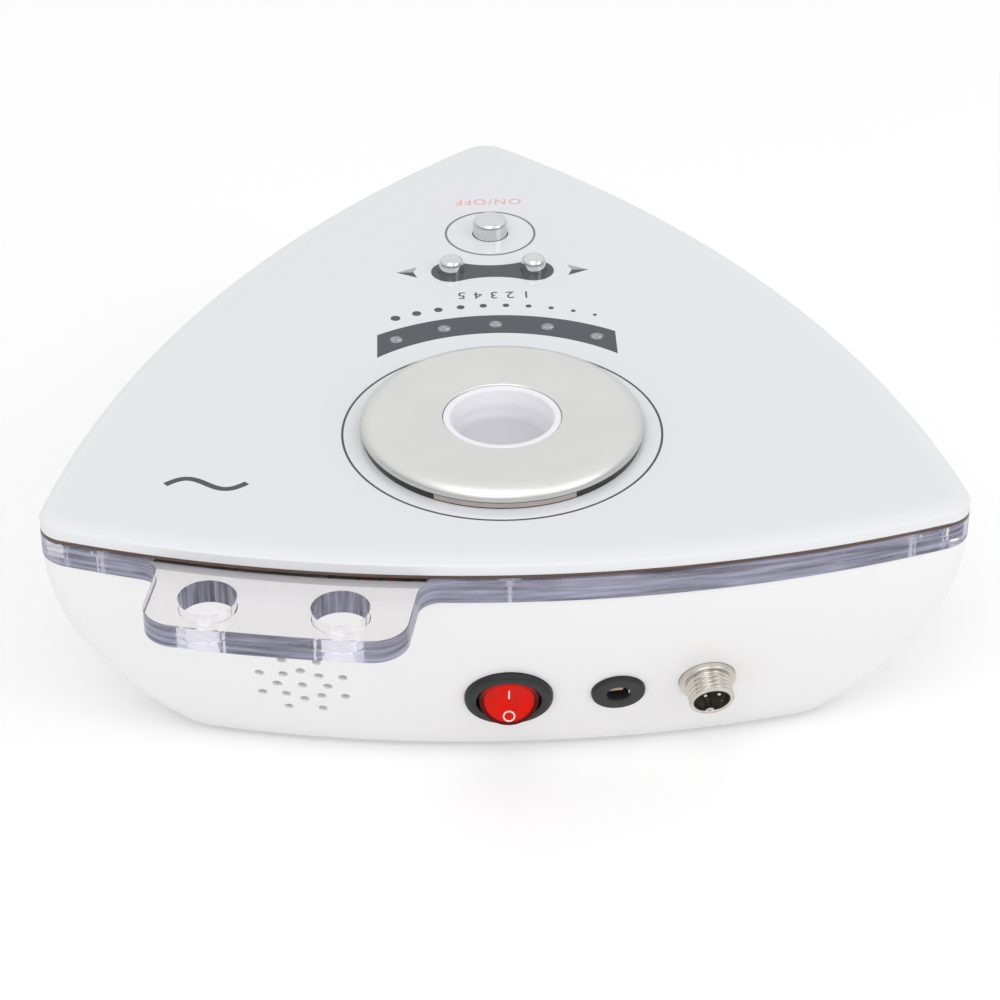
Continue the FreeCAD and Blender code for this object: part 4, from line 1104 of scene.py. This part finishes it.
arrow_tip = 27.4 * mm
arrow_tail = 21.6 * mm
arrow_notch = 22.7 * mm
arrow_half = 3 * mm
for side, name in ((1, "up"), (-1, "down")):
    for half, ink, tone in ((1, slate_ink, "dark"), (-1, pale_ink, "pale")):
        outline = [
            Vector((side * arrow_tip, 0)),
            Vector((side * arrow_tail, half * arrow_half)),
            Vector((side * arrow_notch, 0)),
        ]
        printed("print_arrow_%s_%s" % (name, tone), outline, ink, level_row)

wave_length = 21 * mm
wave_height = 2.6 * mm
wave_line = 0.9 * mm
wave_steps = 48
wave_place = Vector((77 * mm, 52.7 * mm))
upper_edge = []
lower_edge = []
for step in range(wave_steps + 1):
    phase = math.tau * step / wave_steps
    spot = Vector((wave_length * (step / wave_steps - 0.5), wave_height * math.sin(phase)))
    slope = Vector((wave_length / math.tau, wave_height * math.cos(phase))).normalized()
    square = Vector((-slope.y, slope.x)) * wave_line
    upper_edge.append(spot + square)
    lower_edge.append(spot - square)
printed("print_wave", lower_edge + upper_edge[::-1], slate_ink, wave_place)


def lettering(name, words, size, spacing, ink, place):
    """Words set flat on the panel, centred on a place, made a mesh and given the ink's thickness."""
    bpy.ops.object.select_all(action="DESELECT")
    bpy.ops.object.text_add()
    text = bpy.context.object
    text.data.body = words
    text.data.size = size
    text.data.space_character = spacing
    text.data.align_x = "CENTER"
    text.data.align_y = "CENTER"
    text.data.extrude = ink_thickness / 2
    bpy.ops.object.convert(target="MESH")
    piece = bpy.context.object
    piece.name = name
    seated(piece, in_plan(place) @ Matrix.Translation((0, 0, panel_top + ink_thickness / 2)))
    return dress(cleaned(piece, False), ink, "housing")


lettering("print_switch_words", "ON/OFF", 4.9 * mm, 1.15, red_ink, Vector((0, -97.5 * mm)))
lettering("print_level_numbers", "1 2 3 4 5", 5.2 * mm, 1.1, slate_ink, Vector((0, -42 * mm)))

# Indicator lights: five clear epoxy lamps pressed into the panel from below, flush with it. Close under the
# lens show a pale reflector cup and the two tinned posts that carry the chip.
lamp_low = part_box("indicator_lights")[0].z
lens_low = panel_low - 1.2 * mm
lens_profile = rounded([
    (0.2 * mm, lens_low, 0),
    (light_radius + 0.4 * mm, lens_low, 0),
    (light_radius + 0.4 * mm, lens_low + mm, 0),
    (light_radius, lens_low + mm, 0),
    (light_radius, panel_top - 0.05 * mm, 0.3 * mm),
    (0.2 * mm, panel_top + 0.05 * mm, 0),
])
clear_light = surface(
    "clear_light", [(0.90, 0.90, 0.92), (0.95, 0.95, 0.96)], (0.04, 0.10), 2500, 500, 0.05,
    Transmission_Weight=1.0, IOR=1.3,
)
lamp_cup = surface("lamp_cup", [(0.38, 0.39, 0.42), (0.46, 0.47, 0.49)], (0.4, 0.55), 4000, 900, 0.3)
lamp_post = surface("lamp_post", [(0.62, 0.62, 0.62), (0.70, 0.70, 0.70)], (0.35, 0.5), 4000, 900, 0.2)
cup_depth = 0.3 * mm
cup_wall = light_radius - 0.1 * mm
cup_profile = [
    (0.05 * mm, panel_top - 2 * cup_depth), (mm, panel_top - 2 * cup_depth),
    (cup_wall, panel_top - cup_depth), (cup_wall, lens_low + 0.2 * mm), (0.05 * mm, lens_low + 0.2 * mm),
]
post_reach = 0.8 * mm
post_leg = 0.25 * mm
for number, place in enumerate(light_places):
    lens = turned("indicator_lens_%d" % (number + 1), lens_profile, in_plan(place), 48)
    dress(lens, clear_light, "housing", ["indicator_lights"])
    reflector = turned("indicator_reflector_%d" % (number + 1), cup_profile, in_plan(place), 48)
    dress(reflector, lamp_cup, "housing")
    posts = []
    for side, width in ((-1, 0.62 * mm), (1, 0.42 * mm)):
        seat = in_plan(place + Vector((side * post_reach, 0)))
        steps = rounded([
            (post_leg, lamp_low, 0), (post_leg, panel_top - mm, 0), (width, panel_top - 0.7 * mm, 0),
            (width, panel_top - cup_depth, 0.15 * mm), (0.05 * mm, panel_top - cup_depth, 0),
        ])
        posts.append(turned("post", steps, seat, 24))
    leadframe = combined(posts[0], posts[1:], "UNION")
    leadframe.name = "indicator_leadframe_%d" % (number + 1)
    dress(leadframe, lamp_post, "housing")

# Push buttons: zinc caps, polished and chrome plated, that slide in the panel's holes. A flange below keeps
# them in. The power button has a flat top and a small edge round, the two level buttons are domed.
flange_top = panel_low - 0.25 * mm
flange_low = flange_top - 1.2 * mm
flange_step = 1.4 * mm
stem_radius = 1.6 * mm
chrome_cap = surface(
    "chrome_cap", [(0.63, 0.64, 0.66), (0.70, 0.71, 0.73)], (0.03, 0.07), 2500, 260, 0.02, Metallic=1.0,
)
caps = [
    ("power", power_place, power_radius, 1.5 * mm),
    ("level_up", level_places[0], level_radius, 2.2 * mm),
    ("level_down", level_places[1], level_radius, 2.2 * mm),
]
for name, place, radius, crown in caps:
    cap_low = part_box("%s_button" % name)[0].z
    cap_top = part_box("%s_button" % name)[1].z
    steps = rounded([
        (stem_radius, cap_low, 0),
        (stem_radius, flange_low, 0),
        (radius + flange_step, flange_low, 0),
        (radius + flange_step, flange_top, 0),
        (radius, flange_top, 0),
        (radius, cap_top, crown),
        (0.1 * mm, cap_top, 0),
    ], steps=12)
    cap = turned("%s_button_cap" % name, steps, in_plan(place))
    dress(cap, chrome_cap, "%s_key" % name, ["%s_button" % name])

# Ring under the disc: glossy black spacer that lifts the disc off the panel, screwed from below. A pale
# strip on its rear third is a painted reflection in its gloss.
ring_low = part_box("disc_ring")[0].z
ring_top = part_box("disc_ring")[1].z
spacer_radius = 37 * mm
spacer_bore = 20 * mm
spacer_profile = hoop(spacer_bore, spacer_radius, ring_low, ring_top)
spacer = turned("disc_spacer_ring", spacer_profile, in_plan(disc_place), 160, capped=False)
dark_ring = surface("dark_ring", [(0.012, 0.012, 0.014), (0.02, 0.02, 0.022)], (0.08, 0.15), 2500, 200, 0.05)
dress(spacer, dark_ring, "housing", ["disc_ring"])
# The pale strip stands on the ring's rear third as a painted reflection of the pale surroundings.
strip_half = math.radians(30)
strip_out = spacer_radius + 0.08 * mm
strip_in = spacer_radius - 0.3 * mm
strip_outline = arc(origin, strip_out, math.pi / 2 - strip_half, 2 * strip_half, 48)
strip_outline += arc(origin, strip_in, math.pi / 2 + strip_half, -2 * strip_half, 48)
strip_low = ring_low + 0.35 * mm
strip_top = ring_top - 0.3 * mm
strip = slab("disc_spacer_painted_reflection", strip_outline, strip_low, strip_top, in_plan(disc_place))
painted_reflection_strip = surface("painted_reflection_strip", [(0.40, 0.345, 0.33), (0.48, 0.42, 0.40)], (0.3, 0.45), 2500, 200, 0.1)
dress(strip, painted_reflection_strip, "housing")

# Metal disc: turned aluminium, dished a little towards its middle, with a soft elliptical edge, bead blasted
# to a fine even grain and clear anodised. The cup passes through its middle.
disc_crest = disc_high.z
disc_dish = 0.9 * mm
disc_top = disc_crest - disc_dish
disc_base = disc_low.z
disc_radius = 37.4 * mm
crest_radius = 33.4 * mm
disc_bore = 15.75 * mm
edge_low = disc_base + 0.6 * mm
lower_chamfer = 0.15 * mm
bore_chamfer = 0.2 * mm
disc_profile = [
    (disc_bore, disc_base), (disc_radius - lower_chamfer, disc_base),
    (disc_radius, disc_base + lower_chamfer),
]
edge_drop = disc_crest - edge_low
edge_fall = 0.22
edge_steps = 16
for step in range(edge_steps + 1):
    share = math.cos(math.pi / 2 * step / edge_steps)
    drop = edge_fall * share + (1 - edge_fall) * (1 - math.sqrt(1 - share ** 2))
    disc_profile.append((crest_radius + (disc_radius - crest_radius) * share, disc_crest - edge_drop * drop))
disc_profile += [
    (crest_radius - 0.12 * mm, disc_crest), (disc_bore + bore_chamfer, disc_top),
    (disc_bore, disc_top - bore_chamfer), (disc_bore, disc_base),
]
disc = turned("metal_disc_plate", disc_profile, in_plan(disc_place), 192, capped=False)
satin_metal = surface(
    "satin_metal", [(0.69, 0.69, 0.673), (0.73, 0.73, 0.713)], (0.29, 0.37), 4200, 60, 1.0, Metallic=1.0,
)
dress(disc, satin_metal, "housing", ["metal_disc"])

# Holder cup: milky white moulding pushed through disc and panel and held by a threaded ring below. Its mouth
# has a soft lip, and the wall meets the floor in a wide round.
cup_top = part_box("holder_cup")[1].z
cup_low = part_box("holder_cup")[0].z
cup_mouth = 13.7 * mm
cup_floor = cup_top - 8.5 * mm
cup_base = cup_floor - 1.6 * mm
cup_profile = rounded([
    (0.2 * mm, cup_base, 0),
    (cup_mouth, cup_base, 0),
    (cup_mouth, cup_low, 0),
    (cup_radius, cup_low, 0),
    (cup_radius, cup_top, 0.5 * mm),
    (cup_mouth, cup_top, 0.6 * mm),
    (cup_mouth, cup_floor, 2.5 * mm),
    (0.2 * mm, cup_floor, 0),
], steps=10)
cup = turned("holder_cup_moulding", cup_profile, in_plan(disc_place), 128)
white_cup = surface("white_cup", [(0.80, 0.79, 0.84), (0.83, 0.82, 0.87)], (0.3, 0.4), 2400, 80, 0.08)
# Painted shade and light: the inside is coloured darker towards the cup's floor and lighter up its wall, with
# the lip a little darker again.
painted_light_by_height(white_cup, cup_floor, cup_top, [
    (0.0, (0.58, 0.57, 0.615)), (0.22, (0.80, 0.79, 0.83)), (0.55, (0.94, 0.93, 0.96)),
    (0.93, (0.94, 0.93, 0.96)), (1.0, (0.86, 0.85, 0.89)),
])
dress(cup, white_cup, "housing", ["holder_cup"])

# Studio: a wide pale floor under a large soft light over the camera's shoulder, a weaker one from the other
# side, and an even white surround. The camera stands behind the machine, as in the photograph.
bpy.ops.object.select_all(action="DESELECT")
bpy.ops.mesh.primitive_plane_add(size=12)
floor = bpy.context.object
floor.name = "studio_floor"
floor_glow = 0.08
near_part = 5 * mm
thinning = 0.4
floor_paper = surface(
    "floor_paper", [(0.93, 0.93, 0.93), (0.95, 0.95, 0.95)], (0.8, 0.9), 300, 3, 0.02,
    Emission_Color=(1, 1, 1, 1),
)
tree = floor_paper.node_tree
path = node(tree, "ShaderNodeLightPath", {})
feed(tree, "Emission Strength", maths(tree, "MULTIPLY", path.outputs["Is Camera Ray"], floor_glow))
side = node(tree, "ShaderNodeNewGeometry", {})
under_part = maths(tree, "LESS_THAN", path.outputs["Ray Length"], near_part)
opened = maths(tree, "MAXIMUM", side.outputs["Backfacing"], maths(tree, "MULTIPLY", under_part, thinning))
open_below = node(tree, "ShaderNodeBsdfTransparent", {"Color": (1, 1, 1, 1)})
paper = node(tree, "ShaderNodeMixShader", {
    0: opened, 1: tree.nodes["Principled BSDF"].outputs["BSDF"], 2: open_below.outputs["BSDF"],
})
tree.links.new(paper.outputs["Shader"], tree.nodes["Material Output"].inputs["Surface"])
floor.data.materials.append(floor_paper)


def softbox(name, place, aim, size, power):
    """Square area light at a place, turned towards a point."""
    lamp = bpy.data.lights.new(name, "AREA")
    lamp.shape = "SQUARE"
    lamp.size = size
    lamp.energy = power
    light = bpy.data.objects.new(name, lamp)
    light.location = place
    light.rotation_euler = (Vector(aim) - Vector(place)).to_track_quat("-Z", "Y").to_euler()
    bpy.context.scene.collection.objects.link(light)


softbox("key_softbox", (0.45, 1.7, 2.5), (0, 0, 0.05), 2.2, 24.0)
softbox("fill_softbox", (-1.75, 1.1, 1.45), (0, 0, 0.05), 1.3, 8.0)

world = bpy.data.worlds.new("studio_surround")
world.use_nodes = True
bpy.context.scene.world = world
tree = world.node_tree
path = node(tree, "ShaderNodeLightPath", {})
seen = maths(tree, "MAXIMUM", path.outputs["Is Camera Ray"], path.outputs["Is Transmission Ray"])
ambient = 0.75
horizon_near = 0.3
horizon_far = 0.85
direct = ranged(tree, seen, 0.0, 1.0, ambient, 1.0)
direction = node(tree, "ShaderNodeTexCoord", {})
way = node(tree, "ShaderNodeSeparateXYZ", {0: direction.outputs["Generated"]})
horizon = ranged(tree, way.outputs["Y"], 0.1, -0.6, horizon_near, horizon_far)
mirrored = ranged(tree, way.outputs["Z"], 0.05, 0.5, horizon, 1.0, interpolation_type="SMOOTHSTEP")
strength = node(tree, "ShaderNodeMix", {"Factor": path.outputs["Is Glossy Ray"], 2: direct, 3: mirrored})
background = tree.nodes["Background"]
background.inputs["Color"].default_value = (1, 1, 1, 1)
tree.links.new(strength.outputs["Result"], background.inputs["Strength"])

camera_place = Vector((0.0222, plan_y + 0.7345043, 0.5213))
camera_yaw = -0.0306
camera_pitch = 0.5868
camera_roll = 0.0026
camera = bpy.data.cameras.new("camera")
camera.sensor_width = 36
camera.lens = 113.78
camera.clip_start = 0.01
camera_object = bpy.data.objects.new("camera", camera)
bpy.context.scene.collection.objects.link(camera_object)
bpy.context.scene.camera = camera_object
ahead = Vector((
    math.sin(camera_yaw) * math.cos(camera_pitch),
    -math.cos(camera_yaw) * math.cos(camera_pitch),
    -math.sin(camera_pitch),
))
right = ahead.cross(Vector((0, 0, 1))).normalized()
below = ahead.cross(right)
right_rolled = right * math.cos(camera_roll) + below * math.sin(camera_roll)
below_rolled = below * math.cos(camera_roll) - right * math.sin(camera_roll)
turn = Matrix((right_rolled, -below_rolled, -ahead)).transposed().to_4x4()
camera_object.matrix_world = Matrix.Translation(camera_place) @ turn
bpy.context.scene.view_settings.view_transform = "Standard"
